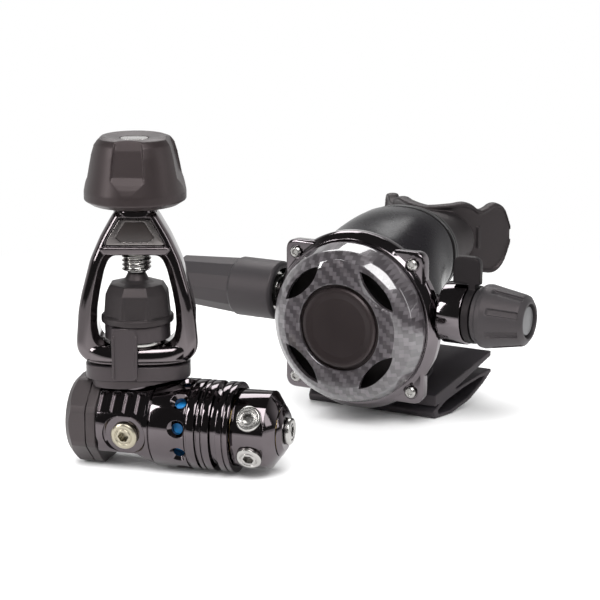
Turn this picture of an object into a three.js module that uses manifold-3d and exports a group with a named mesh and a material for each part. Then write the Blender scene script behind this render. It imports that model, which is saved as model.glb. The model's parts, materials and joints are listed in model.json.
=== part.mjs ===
// Scuba regulator set: a yoke first stage and an adjustable second stage standing beside it.
// Millimetres, +Z up, the viewer stands at -Y. The origin is the centre of the footprint.
import * as THREE from 'three';
import { mergeVertices } from 'three/addons/utils/BufferGeometryUtils.js';
import Module from 'manifold-3d';

const wasm = await Module();
wasm.setup();

// Fits and cuts that every piece shares
const clearance = 0.3;
const overrun = 3;
const quarterTurn = Math.PI / 2;

// Numbers of sides
const roundSides = 24;
const mediumSides = 16;
const smallSides = 10;

// Where the two stages stand
const firstStageX = -71.3;
const firstStageTurn = 15.9;
const secondStageX = 25.2;
const secondStageY = 63.75;
const secondStageTurn = 28.4;

// First stage, body: radii, then stations along its axis, counted from the yoke's axis
const bodyRadius = 19.2;
const finRise = 0.8;
const finRadius = bodyRadius + finRise;
const bodyAxisHeight = finRadius;
const seamGrooveDepth = 0.7;
const thinGrooveDepth = 0.9;
const finGrooveDepth = 1.8;
const wideGrooveDepth = 2.8;
const bodyStart = -13.6;
const seamAt = 10.3;
const seamWidth = 0.8;
const ambientEnd = 27.2;
const firstFinAt = 28.3;
const firstFinWidth = 3.5;
const finGrooveWidth = 1.1;
const secondFinWidth = 1.8;
const thinGrooveWidth = 0.6;
const thirdFinWidth = 3.1;
const wideGrooveWidth = 3.2;
const fourthFinWidth = 2.7;
const lastFinWidth = 2.2;
const seatBoreRadius = 9;
const seatBoreDepth = 5;
const chamberRadius = 5;
const chamberEnd = 8;
const stemHoleRadius = 3.9;
const springSeatAt = 13;
const ambientWall = 3.8;
const ambientBoreRadius = bodyRadius - ambientWall;
const underFlatDepth = 8;
const underFlatDrop = bodyRadius - underFlatDepth;
const underFlatLength = 18.2;
const underRampLength = 8.4;

// Rib pockets in a shallow panel on the upper front of the body
const ribPocketTurn = 38;
const ribPocketDepth = 2.2;
const ribPocketHeight = 10;
const ribPocketWidth = 3.4;
const ribPitch = 5.7;
const ribCount = 4;
const ribFirstGap = 2.2;
const ribFirstAt = bodyStart + ribFirstGap;
const ribPanelDepth = 0.9;
const ribPanelMargin = 1.3;

// Ambient holes
const ambientHoleCount = 10;
const ambientHoleRadius = 2.5;
const countersinkRadius = 4.2;
const countersinkDepth = 1.8;
const ambientHoleAt = 24;
const ambientHolePhase = 8;

// High-pressure ports, one at each side
const highPortAt = -0.5;
const highPortTilt = 8;
const spotFaceRadius = 9.4;
const spotFaceDepth = 2;
const spotFaceDistance = bodyRadius - spotFaceDepth;
const portHoleRadius = 4.4;
const highPlugRadius = 6;
const highPlugThickness = 2.3;
const plugStemRadius = 4.05;
const highPlugStemLength = 7.5;
const socketRadius = 2.5;
const socketDepth = 3;

// Yoke boss on top of the body
const bossRadius = 10.5;
const yokePortRadius = 8.3;
const yokePortFloor = 6;

// End cap
const endCapLength = 14.6;
const endCapRise = 0.2;
const endCapApothem = bodyRadius + endCapRise;
const endCapCornerRise = 1;
const endCapRadius = endCapApothem + endCapCornerRise;
const endCapChamfer = 3.4;

// Inside the body
const seatRetainerBore = 2.5;
const seatLength = 2.5;
const pistonStroke = 0.8;
const pistonStemRadius = 3.6;
const pistonBore = 1.5;
const pistonHeadThickness = 3.2;
const pistonHeadRoom = 1.3;
const sleeveThickness = 2.4;
const springWireRadius = 1.4;
const springGap = 1.9;
const springTurns = 6;
const springOuterRadius = ambientBoreRadius - clearance - sleeveThickness - springGap;
const springMeanRadius = springOuterRadius - springWireRadius;

// Swivel turret
const coreFlangeLength = 4;
const turretStep = 2;
const turretRadius = bodyRadius - turretStep;
const turretWall = 7.6;
const coreRadius = turretRadius - turretWall;
const coreWall = 3.4;
const coreBore = coreRadius - coreWall;
const turretLength = 14.9;
const turretConeLength = 4;
const turretTipWall = 2;
const turretTipRadius = coreRadius + turretTipWall;
const turretFlatDepth = 0.9;
const turretFlatDistance = turretRadius - turretFlatDepth;
const turretFlatMargin = 0.8;
const lowPortTilt = 30;
const lowPlugRadius = 5.65;
const lowPlugThickness = 2.1;
const lowPlugStemLength = 4.6;
const boltTipStep = 3.1;
const boltTipRadius = turretTipRadius - boltTipStep;
const boltHeadLength = 1.9;
const boltStemRadius = coreBore - clearance;
const boltStemLength = 8;
const boltWall = 1.9;
const boltBore = boltStemRadius - boltWall;
const endPlugRadius = 5.9;
const endPlugThickness = 2.2;
const endPlugStemRadius = boltBore - clearance;
const endPlugStemLength = 6;

// Yoke, heights counted from the body's axis
const yokeStandOff = 7.2;
const yokeHeight = 68.3;
const yokeBottom = finRadius + yokeStandOff;
const yokeTop = yokeBottom + yokeHeight;
const yokeHalfWidth = 26.7;
const yokeHalfDepth = 8.4;
const yokeBevel = 3.4;
const yokeBaseThickness = 8.3;
const openingHeight = 39.9;
const openingBottom = yokeBottom + yokeBaseThickness;
const openingTop = openingBottom + openingHeight;
const openingHalfWidth = 17.3;
const yokeBaseHalfWidth = 22.4;
const yokeBaseHalfDepth = 12.4;
const yokeBaseFlare = 2.2;
const yokeBaseRound = 2.4;
const yokeCrownRadius = 9.6;
const yokeCrownLength = 14;
const screwHoleRadius = 6.85;
const plaqueTopMargin = 2.9;
const plaqueTop = yokeTop - plaqueTopMargin;
const plaqueBottomMargin = 15.9;
const plaqueBottom = yokeTop - plaqueBottomMargin;
const plaqueTopHalfWidth = 7;
const plaqueBottomHalfWidth = 13.8;
const plaqueDepth = 0.7;
const badgeHalfWidth = 8.6;
const badgeHalfHeight = 4.6;
const badgeRise = 0.5;

// Yoke retainer, inlet and dust cap
const retainerStemRadius = 8;
const retainerFlangeRadius = 12.2;
const retainerFlangeThickness = 1.5;
const spigotRadius = 6.8;
const spigotHeight = 1.7;
const inletBore = 3.2;
const filterLength = 10;
const filterTipRadius = 1.6;
const capStemRadius = 12.7;
const capFlangeRadius = 15.9;
const capFlangeHeight = 9.7;
const capFlangeAt = openingBottom + capFlangeHeight;
const capFlangeThickness = 2.6;
const capBodyRadius = 15.1;
const capShoulderRadius = 11.7;
const capShoulderHeight = 17.5;
const capNeckRadius = 5.3;
const capTipRadius = 3.7;
const capHeight = 31.5;
const capTop = openingBottom + capHeight;

// Strap that ties the dust cap to the yoke
const strapWidth = 11.2;
const strapX = -4.8;
const strapThickness = 1.8;
const strapStandOff = 2.6;
const strapFront = yokeBaseHalfDepth + strapStandOff;
const hoopThickness = 1.4;
const tierRise = 0.6;
const upperTierHalfWidth = yokeBaseHalfWidth + tierRise;
const upperTierHalfDepth = yokeBaseHalfDepth + tierRise;
const upperTierGap = 0.5;
const upperTierBottom = finRadius + upperTierGap;
const tierSideStep = 2.5;
const lowerTierHalfWidth = upperTierHalfWidth - tierSideStep;
const tierFrontStep = 1;
const lowerTierHalfDepth = upperTierHalfDepth - tierFrontStep;
const lowerTierDrop = 3.2;
const lowerTierBottom = finRadius - lowerTierDrop;
const strapEndRise = 0.8;
const strapBottom = upperTierBottom + strapEndRise;

// Yoke screw and knob
const screwRadius = 6.5;
const screwTipRadius = 4.5;
const screwTipLength = 0.9;
const threadPitch = 1.9;
const threadDepth = 0.8;
const threadCount = 4;
const screwRise = 22.5;
const screwTop = yokeTop + screwRise;
const knobStandOff = 1.8;
const knobBottom = yokeTop + knobStandOff;
const knobHeight = 29.8;
const knobTop = knobBottom + knobHeight;
const knobRadius = 22.2;
const knobFootRadius = 18.6;
const knobFootHeight = 2.4;
const knobWaistHeight = 8;
const knobShoulderRadius = 18.1;
const knobShoulderDrop = 4.1;
const knobCrownRadius = 16.6;
const knobCrownDrop = 1.3;
const knobRimRadius = 14.6;
const knobDish = 1.1;
const knobGrooveWidth = 12.2;
const knobGrooveRise = 10;
const knobGrooveBottom = knobBottom + knobGrooveRise;
const knobGrooveDepth = 4.5;
const knobGrooveDistance = knobRadius - knobGrooveDepth;
const knobGrooveCount = 4;
const knobGroovePhase = -5;
const topDiscRadius = 6;
const topDiscThickness = 0.9;

// Second stage, counted from the centre of the cover screws' square; y runs back
const lugMargin = 5.9;
const lugCorner = 5.4;
const housingRadius = 40.4;
const teeReach = 8.2;
const screwPlaneHeight = housingRadius + teeReach;
const bezelRise = 2.6;
const bezelRadius = housingRadius + bezelRise;
const bezelFrontStep = 0.6;
const bezelFrontRadius = housingRadius - bezelFrontStep;
const bezelShoulder = 2.6;
const screwRingRise = 2.7;
const screwSpacing = (housingRadius + screwRingRise) * Math.SQRT2;
const bezelFront = -1.6;
const bezelBack = 6.4;
const bezelInset = 3.8;
const bezelBore = housingRadius - bezelInset;
const screwHeadRadius = 2.75;
const screwHeadThickness = 1.6;
const screwShankRadius = 1.5;
const screwShankLength = 5.4;
const screwSocketRadius = 1.5;
const screwSocketDepth = 0.8;

// Front cover and purge button
const coverInset = 1.9;
const coverRimRadius = housingRadius - coverInset;
const coverRimFront = -4;
const coverCrown = -15.6;
const coverWall = 2;
const coverHoleRise = 1.4;
const coverHole = coverRimRadius / 2 + coverHoleRise;
const coverFlatInset = 9.6;
const coverFlatRadius = coverRimRadius - coverFlatInset;
const coverHipInset = 2.4;
const coverHipRadius = coverRimRadius - coverHipInset;
const coverHipDrop = 4;
const coverHip = coverCrown + coverHipDrop;
const slotRise = 2.6;
const slotDistance = (coverHole + coverFlatRadius) / 2 + slotRise;
const slotLength = 24.6;
const slotWidth = 7;
const slotFullness = 2.4;
const slotCount = 4;
const buttonGap = 1.6;
const buttonRadius = coverHole - buttonGap;
const buttonRise = 0.4;
const buttonFront = coverCrown - buttonRise;
const buttonFlangeRise = 1.5;
const buttonFlangeRadius = coverHole + buttonFlangeRise;
const buttonFlangeThickness = 1;
const purgeSpringRadius = 8.5;
const purgeSpringWire = 0.6;
const purgeSpringTurns = 3;

// Diaphragm and its metal disc
const diaphragmInset = 0.7;
const diaphragmFront = -3.8;
const diaphragmThickness = 1;
const discRadius = 12.5;

// Housing: rim, then the oval rear drum and neck
const housingRimOuter = bezelBore - clearance;
const housingRimWall = 2;
const housingRimInner = housingRimOuter - housingRimWall;
const housingRimFront = -2.4;
const housingWall = 2.2;
const drumEnd = 50;
const drumHalfWidth = 28.6;
const drumHalfHeight = 22.8;
const drumUp = 23.6;
const neckEnd = 58;
const neckHalfWidth = 21;
const neckHalfHeight = 15;
const neckBoreHalfWidth = 18.6;
const neckBoreHalfHeight = 12.6;
const exhaustBossRadius = 12;
const exhaustHoleRadius = 9.5;
const exhaustGap = 20.3;
const exhaustBack = bezelBack + exhaustGap;
const exhaustBossRise = 7;
const exhaustBossBottom = exhaustBossRise - housingRadius;
const exhaustBossHeight = 31;
const exhaustBossTop = exhaustBossBottom + exhaustBossHeight;

// Valve barrel, its axis across the housing
const barrelBack = 11;
const barrelUp = 7.6;
const barrelTubeRadius = 7;
const barrelBore = 5.5;
const barrelOverhang = 3.1;
const barrelLeft = -housingRadius - barrelOverhang;
const barrelSleeveRadius = 14.4;
const sleeveGap = 0.4;
const barrelSleeveLeft = bezelRadius + sleeveGap;
const barrelSleeveLength = 12.1;
const barrelSleeveRight = barrelSleeveLeft + barrelSleeveLength;
const inletTubeBore = 2;
const inletHeadRadius = 8;
const inletHeadLength = 3;
const inletStemRadius = 5;
const inletStemLength = 7;
const poppetRadius = 5.1;
const poppetLength = 18;
const poppetRoom = 2.6;
const poppetSpringRadius = 3.7;
const poppetSpringWire = 0.6;
const poppetSpringTurns = 5;
const poppetSpringLength = 13.4;

// Hose nut, ferrule and guard
const nutRadius = 10.5;
const nutLength = 9.7;
const nutSides = 6;
const ferruleRadius = 9.6;
const ferruleBore = 4.2;
const ferruleLength = 20;
const guardGap = 0.5;
const guardStart = barrelLeft - guardGap;
const guardSmoothLength = 24;
const guardShoulder = guardStart - guardSmoothLength;
const guardTailLength = 33.5;
const guardEnd = guardShoulder - guardTailLength;
const guardRadius = 14.4;
const guardFacetRadius = 13.9;
const guardEndRadius = 12;
const guardChamfer = 1.2;
const guardBore = 10.9;
const guardBoreReach = 16.5;
const guardBoreEnd = guardShoulder - guardBoreReach;
const guardMouthRadius = 8;
const guardFacets = 12;

// Venturi lever
const leverRingRadius = 13.6;
const leverRingBore = 7.4;
const leverRingLeft = barrelSleeveRight + clearance;
const leverRingWidth = 3.6;
const leverRingRight = leverRingLeft + leverRingWidth;
const leverTabOverhang = 7.8;
const leverTabLeft = leverRingLeft - leverTabOverhang;
const leverTabWidth = 13.6;
const leverTabRight = leverTabLeft + leverTabWidth;
const leverTabGap = 0.5;
const leverTabBottom = barrelSleeveRadius + leverTabGap;
const leverTabHeight = 13.1;
const leverTabTop = leverTabBottom + leverTabHeight;
const leverTabFront = -5;
const leverTabBack = -1;
const leverTabCorner = 4.5;
const leverStemWidth = 4.6;

// Adjustment knob
const adjusterGap = 0.5;
const adjusterStart = leverRingRight + adjusterGap;
const adjusterCollarRadius = 13.2;
const adjusterCollarLength = 2.4;
const adjusterRadius = 15;
const adjusterWidestAt = 5.1;
const adjusterWidest = adjusterStart + adjusterWidestAt;
const adjusterEndRadius = 11.9;
const adjusterLength = 24.8;
const adjusterEnd = adjusterStart + adjusterLength;
const adjusterLipRadius = 9.2;
const adjusterRecess = 2.6;
const adjusterRecessRadius = 8;
const adjusterGrooves = 8;
const adjusterGrooveWidth = 2.2;
const adjusterGrooveDepth = 1;
const adjusterScrewRadius = 4.8;
const adjusterScrewReach = 27.9;
const adjusterScrewLeft = adjusterStart - adjusterScrewReach;
const adjusterScrewInset = 6;
const adjusterScrewRight = adjusterEnd - adjusterScrewInset;
const endDiscRadius = 6.6;
const endDiscThickness = 1.2;

// Demand lever
const demandArmWidth = 6;
const demandArmThickness = 0.8;
const demandPadFront = -2.4;
const demandKneeFront = 2.4;
const demandPivotBack = 10;
const demandPadDrop = 2.5;

// Exhaust tee and valve
const teeFront = 18.5;
const teeBack = 62;
const teeBottom = -screwPlaneHeight;
const teeFrontHalfWidth = 33;
const teeBackHalfWidth = 46;
const teeHeight = 16.5;
const webFront = 20;
const webBack = 61;
const webRootRise = 5.9;
const webRootDrop = teeBottom + webRootRise;
const webTipRise = 22.9;
const webTipDrop = teeBottom + webTipRise;
const webThickness = 2.8;
const saddleHalfWidth = 24;
const saddleFront = 12;
const saddleBack = 42;
const saddleRise = 27.9;
const saddleTop = teeBottom + saddleRise;
const valveDiscRadius = 10.6;
const valveDiscThickness = 0.8;

// Mouthpiece
const sleeveHalfWidth = 27;
const sleeveHalfHeight = 21.4;
const mouthNeckHalfWidth = 24.5;
const mouthNeckHalfHeight = 16.5;
const mouthNeckAt = 66;
const shieldAt = 79;
const shieldThickness = 3.6;
const shieldHalfWidth = 34.8;
const shieldTopReach = 18;
const shieldBottomReach = 19;
const shieldUp = 26;
const shieldSweep = 27;
const mouthBoreHalfWidth = 16;
const mouthBoreHalfHeight = 8.5;
const biteHalfHeight = 5.5;
const biteLength = 12;
const biteWidth = 7;
const biteAt = 21;
const clampWidth = 3.4;
const clampThickness = 1.2;
const clampAt = 54;

function toSolid(geometry) {
  const bare = new THREE.BufferGeometry();
  bare.setAttribute('position', geometry.getAttribute('position').clone());
  if (geometry.index) {
    bare.setIndex(geometry.index.clone());
  }
  const merged = mergeVertices(bare);
  const corners = merged.index.array;
  const kept = [];
  for (let i = 0; i < corners.length; i += 3) {
    const [a, b, c] = [corners[i], corners[i + 1], corners[i + 2]];
    if (a !== b && b !== c && c !== a) {
      kept.push(a, b, c);
    }
  }
  return new wasm.Manifold(new wasm.Mesh({
    numProp: 3,
    vertProperties: new Float32Array(merged.getAttribute('position').array),
    triVerts: new Uint32Array(kept),
  }));
}

function toGeometry(solid) {
  const { vertProperties, triVerts, numProp } = solid.getMesh();
  const points = [];
  for (let i = 0; i < vertProperties.length; i += numProp) {
    points.push(vertProperties[i], vertProperties[i + 1], vertProperties[i + 2]);
  }
  const geometry = new THREE.BufferGeometry();
  geometry.setAttribute('position', new THREE.Float32BufferAttribute(points, 3));
  geometry.setIndex(Array.from(triVerts));
  geometry.computeVertexNormals();
  return geometry;
}

function cut(base, ...tools) {
  let result = toSolid(base);
  for (const tool of tools) {
    result = result.subtract(toSolid(tool));
  }
  return toGeometry(result);
}

function join(base, ...others) {
  let result = toSolid(base);
  for (const other of others) {
    result = result.add(toSolid(other));
  }
  return toGeometry(result);
}

function common(base, other) {
  return toGeometry(toSolid(base).intersect(toSolid(other)));
}

// A profile of [radius, station] pairs turned about an axis. It runs from low stations to high ones
// on the outside, and closes on itself where it doesn't start on the axis.
function turned(profile, axis, sides) {
  const points = profile.map(([radius, station]) => new THREE.Vector2(radius, station));
  if (points[0].x > 0) {
    points.push(points[0].clone());
  }
  const geometry = new THREE.LatheGeometry(points, sides);
  if (axis === 'x') {
    geometry.rotateZ(-quarterTurn);
  }
  if (axis === 'z') {
    geometry.rotateX(quarterTurn);
  }
  return geometry;
}

function rod(radius, from, to, axis, sides) {
  return turned([[0, from], [radius, from], [radius, to], [0, to]], axis, sides);
}

function tube(inner, outer, from, to, axis, sides) {
  return turned([[inner, from], [outer, from], [outer, to], [inner, to]], axis, sides);
}

function block(xRange, yRange, zRange) {
  const size = [xRange, yRange, zRange].map(([low, high]) => high - low);
  const middle = [xRange, yRange, zRange].map(([low, high]) => (low + high) / 2);
  return new THREE.BoxGeometry(...size).translate(...middle);
}

// An outline of [across, up] points drawn in the XZ plane and given its depth along Y.
function plate(outline, front, back, holes = []) {
  const shape = new THREE.Shape(outline.map(([across, up]) => new THREE.Vector2(across, up)));
  for (const hole of holes) {
    shape.holes.push(new THREE.Path(hole.map(([across, up]) => new THREE.Vector2(across, up))));
  }
  const geometry = new THREE.ExtrudeGeometry(shape, { depth: back - front, bevelEnabled: false });
  return geometry.rotateX(quarterTurn).translate(0, back, 0);
}

// An outline of [x, y] points drawn flat and given its height along Z.
function slab(outline, bottom, top) {
  const shape = new THREE.Shape(outline.map(([x, y]) => new THREE.Vector2(x, y)));
  const geometry = new THREE.ExtrudeGeometry(shape, { depth: top - bottom, bevelEnabled: false });
  return geometry.translate(0, 0, bottom);
}

function ovalPoints(halfWidth, halfHeight, sides, power = 2) {
  const points = [];
  for (let i = 0; i < sides; i += 1) {
    const angle = (2 * Math.PI * i) / sides;
    const across = Math.sign(Math.cos(angle)) * Math.abs(Math.cos(angle)) ** (2 / power);
    const up = Math.sign(Math.sin(angle)) * Math.abs(Math.sin(angle)) ** (2 / power);
    points.push([halfWidth * across, halfHeight * up]);
  }
  return points;
}

// A closed solid through rings of equally many points, each ring further back than the one before.
function loft(rings) {
  const count = rings[0].length;
  const points = rings.flat(2);
  const index = [];
  for (let ring = 0; ring < rings.length - 1; ring += 1) {
    for (let i = 0; i < count; i += 1) {
      const a = ring * count + i;
      const b = ring * count + ((i + 1) % count);
      index.push(a, a + count, b + count, a, b + count, b);
    }
  }
  const lastRing = (rings.length - 1) * count;
  for (let i = 1; i < count - 1; i += 1) {
    index.push(0, i, i + 1);
    index.push(lastRing, lastRing + i + 1, lastRing + i);
  }
  const geometry = new THREE.BufferGeometry();
  geometry.setAttribute('position', new THREE.Float32BufferAttribute(points, 3));
  geometry.setIndex(index);
  return geometry;
}

function ovalRing(back, halfWidth, halfHeight, up, power = 2, sides = mediumSides) {
  return ovalPoints(halfWidth, halfHeight, sides, power).map(([x, z]) => [x, back, up + z]);
}

// A coil spring as one unbroken tube round the X axis, with its least gap to itself.
function spring(name, meanRadius, wireRadius, from, to, turns) {
  const stepsPerTurn = 8;
  const wireSides = 5;
  const steps = stepsPerTurn * turns;
  const rise = to - from - 2 * wireRadius;
  const centres = [];
  const rings = [];
  for (let i = 0; i <= steps; i += 1) {
    const angle = (2 * Math.PI * i) / stepsPerTurn;
    const along = from + wireRadius + (rise * i) / steps;
    const outward = new THREE.Vector3(0, Math.cos(angle), Math.sin(angle));
    centres.push(outward.clone().multiplyScalar(meanRadius).setX(along));
    const ring = [];
    for (let j = 0; j < wireSides; j += 1) {
      const around = (2 * Math.PI * j) / wireSides;
      const point = centres[i].clone().addScaledVector(outward, wireRadius * Math.cos(around));
      point.x += wireRadius * Math.sin(around);
      ring.push(point.toArray());
    }
    rings.push(ring);
  }
  let leastGap = Infinity;
  for (let i = 0; i <= steps; i += 1) {
    for (let j = i + stepsPerTurn / 2; j <= steps; j += 1) {
      leastGap = Math.min(leastGap, centres[i].distanceTo(centres[j]) - 2 * wireRadius);
    }
  }
  console.log(`${name}: least gap between turns ${leastGap.toFixed(2)} mm`);
  return loft(rings);
}

function finish(color, roughness, metalness) {
  return new THREE.MeshStandardMaterial({ color, roughness, metalness });
}

const blackChrome = () => finish(0x2c2829, 0.12, 1);
const brightSteel = () => finish(0xc9c9c6, 0.22, 1);
const goldSteel = () => finish(0xd8cfae, 0.25, 1);
const blackRubber = () => finish(0x3a3537, 0.75, 0);
const blackPlastic = () => finish(0x1d1b1d, 0.4, 0);
const carbonWeave = () => finish(0x4a4349, 0.25, 0);
const blueSleeve = () => finish(0x1676b8, 0.5, 0);
const brass = () => finish(0xb08d4a, 0.35, 1);

function piece(name, geometry, material, parent) {
  const mesh = new THREE.Mesh(geometry, material);
  mesh.name = name;
  parent.add(mesh);
  return mesh;
}

const radians = THREE.MathUtils.degToRad;

// A tool or plug that points along +X is turned to its port: 0 degrees is the front, 90 the top.
function toPort(geometry, station, degrees) {
  return geometry.rotateZ(-quarterTurn).rotateX(-radians(degrees)).translate(station, 0, 0);
}

const firstStage = new THREE.Group();
firstStage.position.set(firstStageX, 0, bodyAxisHeight);
firstStage.rotation.z = -radians(firstStageTurn);

const secondFinAt = firstFinAt + firstFinWidth + finGrooveWidth;
const thirdFinAt = secondFinAt + secondFinWidth + thinGrooveWidth;
const fourthFinAt = thirdFinAt + thirdFinWidth + wideGrooveWidth;
const lastFinAt = fourthFinAt + fourthFinWidth + thinGrooveWidth;
const bodyEnd = lastFinAt + lastFinWidth;

const pistonHeadAt = bodyEnd - coreFlangeLength - pistonHeadRoom - pistonHeadThickness;

// The body from the seat bore at its left end to the fins at its right end
function mainBody() {
  const step = clearance;
  const profile = [
    [seatBoreRadius, bodyStart],
    [bodyRadius, bodyStart],
    [bodyRadius, seamAt],
    [bodyRadius - seamGrooveDepth, seamAt + step],
    [bodyRadius - seamGrooveDepth, seamAt + seamWidth],
    [finRadius, seamAt + seamWidth + step],
    [finRadius, ambientEnd],
    [finRadius - thinGrooveDepth, ambientEnd],
    [finRadius - thinGrooveDepth, firstFinAt],
    [finRadius, firstFinAt],
    [finRadius, firstFinAt + firstFinWidth],
    [finRadius - finGrooveDepth, firstFinAt + firstFinWidth],
    [finRadius - finGrooveDepth, secondFinAt],
    [finRadius, secondFinAt],
    [finRadius, secondFinAt + secondFinWidth],
    [finRadius - thinGrooveDepth, secondFinAt + secondFinWidth],
    [finRadius - thinGrooveDepth, thirdFinAt],
    [finRadius, thirdFinAt],
    [finRadius, thirdFinAt + thirdFinWidth],
    [finRadius - wideGrooveDepth, thirdFinAt + thirdFinWidth],
    [finRadius - wideGrooveDepth, fourthFinAt],
    [finRadius, fourthFinAt],
    [finRadius, fourthFinAt + fourthFinWidth],
    [finRadius - thinGrooveDepth, fourthFinAt + fourthFinWidth],
    [finRadius - thinGrooveDepth, lastFinAt],
    [finRadius, lastFinAt],
    [finRadius, bodyEnd],
    [ambientBoreRadius, bodyEnd],
    [ambientBoreRadius, springSeatAt],
    [stemHoleRadius, springSeatAt],
    [stemHoleRadius, chamberEnd],
    [chamberRadius, chamberEnd],
    [chamberRadius, bodyStart + seatBoreDepth],
    [seatBoreRadius, bodyStart + seatBoreDepth],
  ];
  const bossTop = yokeBottom - clearance;
  const boss = rod(bossRadius, yokePortFloor, bossTop, 'z', mediumSides);
  boss.rotateZ(radians(firstStageTurn));
  const bore = rod(chamberRadius, bodyStart, chamberEnd, 'x', roundSides);
  const yokePort = rod(yokePortRadius, yokePortFloor, bossTop + overrun, 'z', mediumSides);
  yokePort.rotateZ(radians(firstStageTurn));
  const seatBore = rod(
    seatBoreRadius, bodyStart - overrun, bodyStart + seatBoreDepth, 'x', roundSides);
  const tools = [bore, yokePort, seatBore];
  for (const side of [-highPortTilt, 180 + highPortTilt]) {
    const spot = rod(spotFaceRadius, spotFaceDistance, finRadius + overrun, 'x', mediumSides);
    const hole = rod(portHoleRadius, 0, finRadius, 'x', smallSides);
    tools.push(toPort(spot, highPortAt, side), toPort(hole, highPortAt, side));
  }
  for (let i = 0; i < ambientHoleCount; i += 1) {
    const turn = ambientHolePhase + (360 * i) / ambientHoleCount;
    const profileOfHole = [
      [0, ambientBoreRadius - overrun],
      [ambientHoleRadius, ambientBoreRadius - overrun],
      [ambientHoleRadius, finRadius - countersinkDepth],
      [countersinkRadius, finRadius],
      [countersinkRadius, finRadius + overrun],
      [0, finRadius + overrun],
    ];
    const hole = turned(profileOfHole, 'x', smallSides);
    tools.push(toPort(hole, ambientHoleAt, turn));
  }
  const panelRight = ribFirstAt + (ribCount - 1) * ribPitch + ribPocketWidth / 2 + ribPanelMargin;
  const panelReach = ribPocketHeight / 2 + ribPanelMargin;
  const panel = block(
    [bodyStart - overrun, panelRight],
    [-bodyRadius - overrun, -bodyRadius + ribPanelDepth],
    [-panelReach, panelReach],
  );
  tools.push(panel.rotateX(-radians(ribPocketTurn)));
  for (let i = 0; i < ribCount; i += 1) {
    const middle = ribFirstAt + i * ribPitch;
    const pocket = block(
      [middle - ribPocketWidth / 2, middle + ribPocketWidth / 2],
      [-bodyRadius - overrun, -bodyRadius + ribPocketDepth],
      [-ribPocketHeight / 2, ribPocketHeight / 2],
    );
    tools.push(pocket.rotateX(-radians(ribPocketTurn)));
  }
  const flatOutline = [
    [bodyStart - overrun, -underFlatDrop],
    [bodyStart + underFlatLength, -underFlatDrop],
    [bodyStart + underFlatLength + underRampLength, -finRadius],
    [bodyStart + underFlatLength + underRampLength, -finRadius - overrun],
    [bodyStart - overrun, -finRadius - overrun],
  ];
  tools.push(plate(flatOutline.reverse(), -finRadius, finRadius));
  return cut(join(turned(profile, 'x', roundSides), boss), ...tools);
}

// An octagonal rubber cap with a bevelled outer edge
function endCap() {
  const right = bodyStart - clearance;
  const left = right - endCapLength;
  const prism = rod(endCapApothem / Math.cos(Math.PI / 8), left, right, 'x', 8);
  prism.rotateX(Math.PI / 8);
  const round = turned([
    [0, left],
    [endCapRadius - endCapChamfer, left],
    [endCapRadius, left + endCapChamfer],
    [endCapRadius, right],
    [0, right],
  ], 'x', roundSides);
  return common(prism, round);
}

// A plug that points along +X: stem, flange and a six-sided socket
function plug(radius, thickness, stemRadius, stemLength, seat) {
  const stem = rod(stemRadius, seat - stemLength, seat + thickness / 2, 'x', smallSides);
  const bevel = thickness / 4;
  const flange = turned([
    [0, seat],
    [radius, seat],
    [radius, seat + thickness - bevel],
    [radius - bevel, seat + thickness],
    [0, seat + thickness],
  ], 'x', mediumSides);
  const top = seat + thickness;
  const socket = rod(socketRadius, top - socketDepth, top + overrun, 'x', 6);
  return cut(join(flange, stem), socket);
}

function addFirstStageBody() {
  piece('main_body', mainBody(), blackChrome(), firstStage);
  piece('end_cap', endCap(), blackRubber(), firstStage);

  const seatRight = bodyStart + seatBoreDepth - clearance;
  const seatRetainer = tube(
    seatRetainerBore, seatBoreRadius - clearance, bodyStart, seatRight, 'x', mediumSides);
  piece('high_seat_retainer', seatRetainer, brass(), firstStage);
  const seatLeft = seatRight + clearance;
  const seat = rod(chamberRadius - clearance, seatLeft, seatLeft + seatLength, 'x', smallSides);
  piece('high_seat', seat, blackPlastic(), firstStage);

  for (const [name, side] of [['front', -highPortTilt], ['rear', 180 + highPortTilt]]) {
    const seatAt = spotFaceDistance + clearance;
    const body = plug(highPlugRadius, highPlugThickness, plugStemRadius, highPlugStemLength, seatAt);
    piece(`high_port_plug_${name}`, toPort(body, highPortAt, side), goldSteel(), firstStage);
  }

  const stemLeft = seatLeft + seatLength + clearance + pistonStroke;
  const headRight = pistonHeadAt + pistonHeadThickness;
  const headRadius = ambientBoreRadius - clearance;
  const piston = turned([
    [pistonBore, stemLeft],
    [pistonStemRadius, stemLeft],
    [pistonStemRadius, pistonHeadAt],
    [headRadius, pistonHeadAt],
    [headRadius, headRight],
    [pistonBore, headRight],
  ], 'x', mediumSides);
  piece('piston', piston, brightSteel(), firstStage);

  const springLeft = springSeatAt + clearance + pistonStroke;
  const springRight = pistonHeadAt - clearance;
  const mainSpring = spring(
    'main_spring', springMeanRadius, springWireRadius, springLeft, springRight, springTurns);
  piece('main_spring', mainSpring, brightSteel(), firstStage);

  const sleeveOuter = ambientBoreRadius - clearance;
  const sleeveRight = pistonHeadAt - pistonStroke - clearance;
  const sleeve = tube(
    sleeveOuter - sleeveThickness, sleeveOuter, springSeatAt + clearance, sleeveRight, 'x', mediumSides);
  piece('insulating_sleeve', sleeve, blueSleeve(), firstStage);
}

const turretLeft = bodyEnd + clearance;
const turretRight = turretLeft + turretLength;
const lowPortAt = (turretLeft + turretRight) / 2 + turretFlatMargin;

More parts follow.
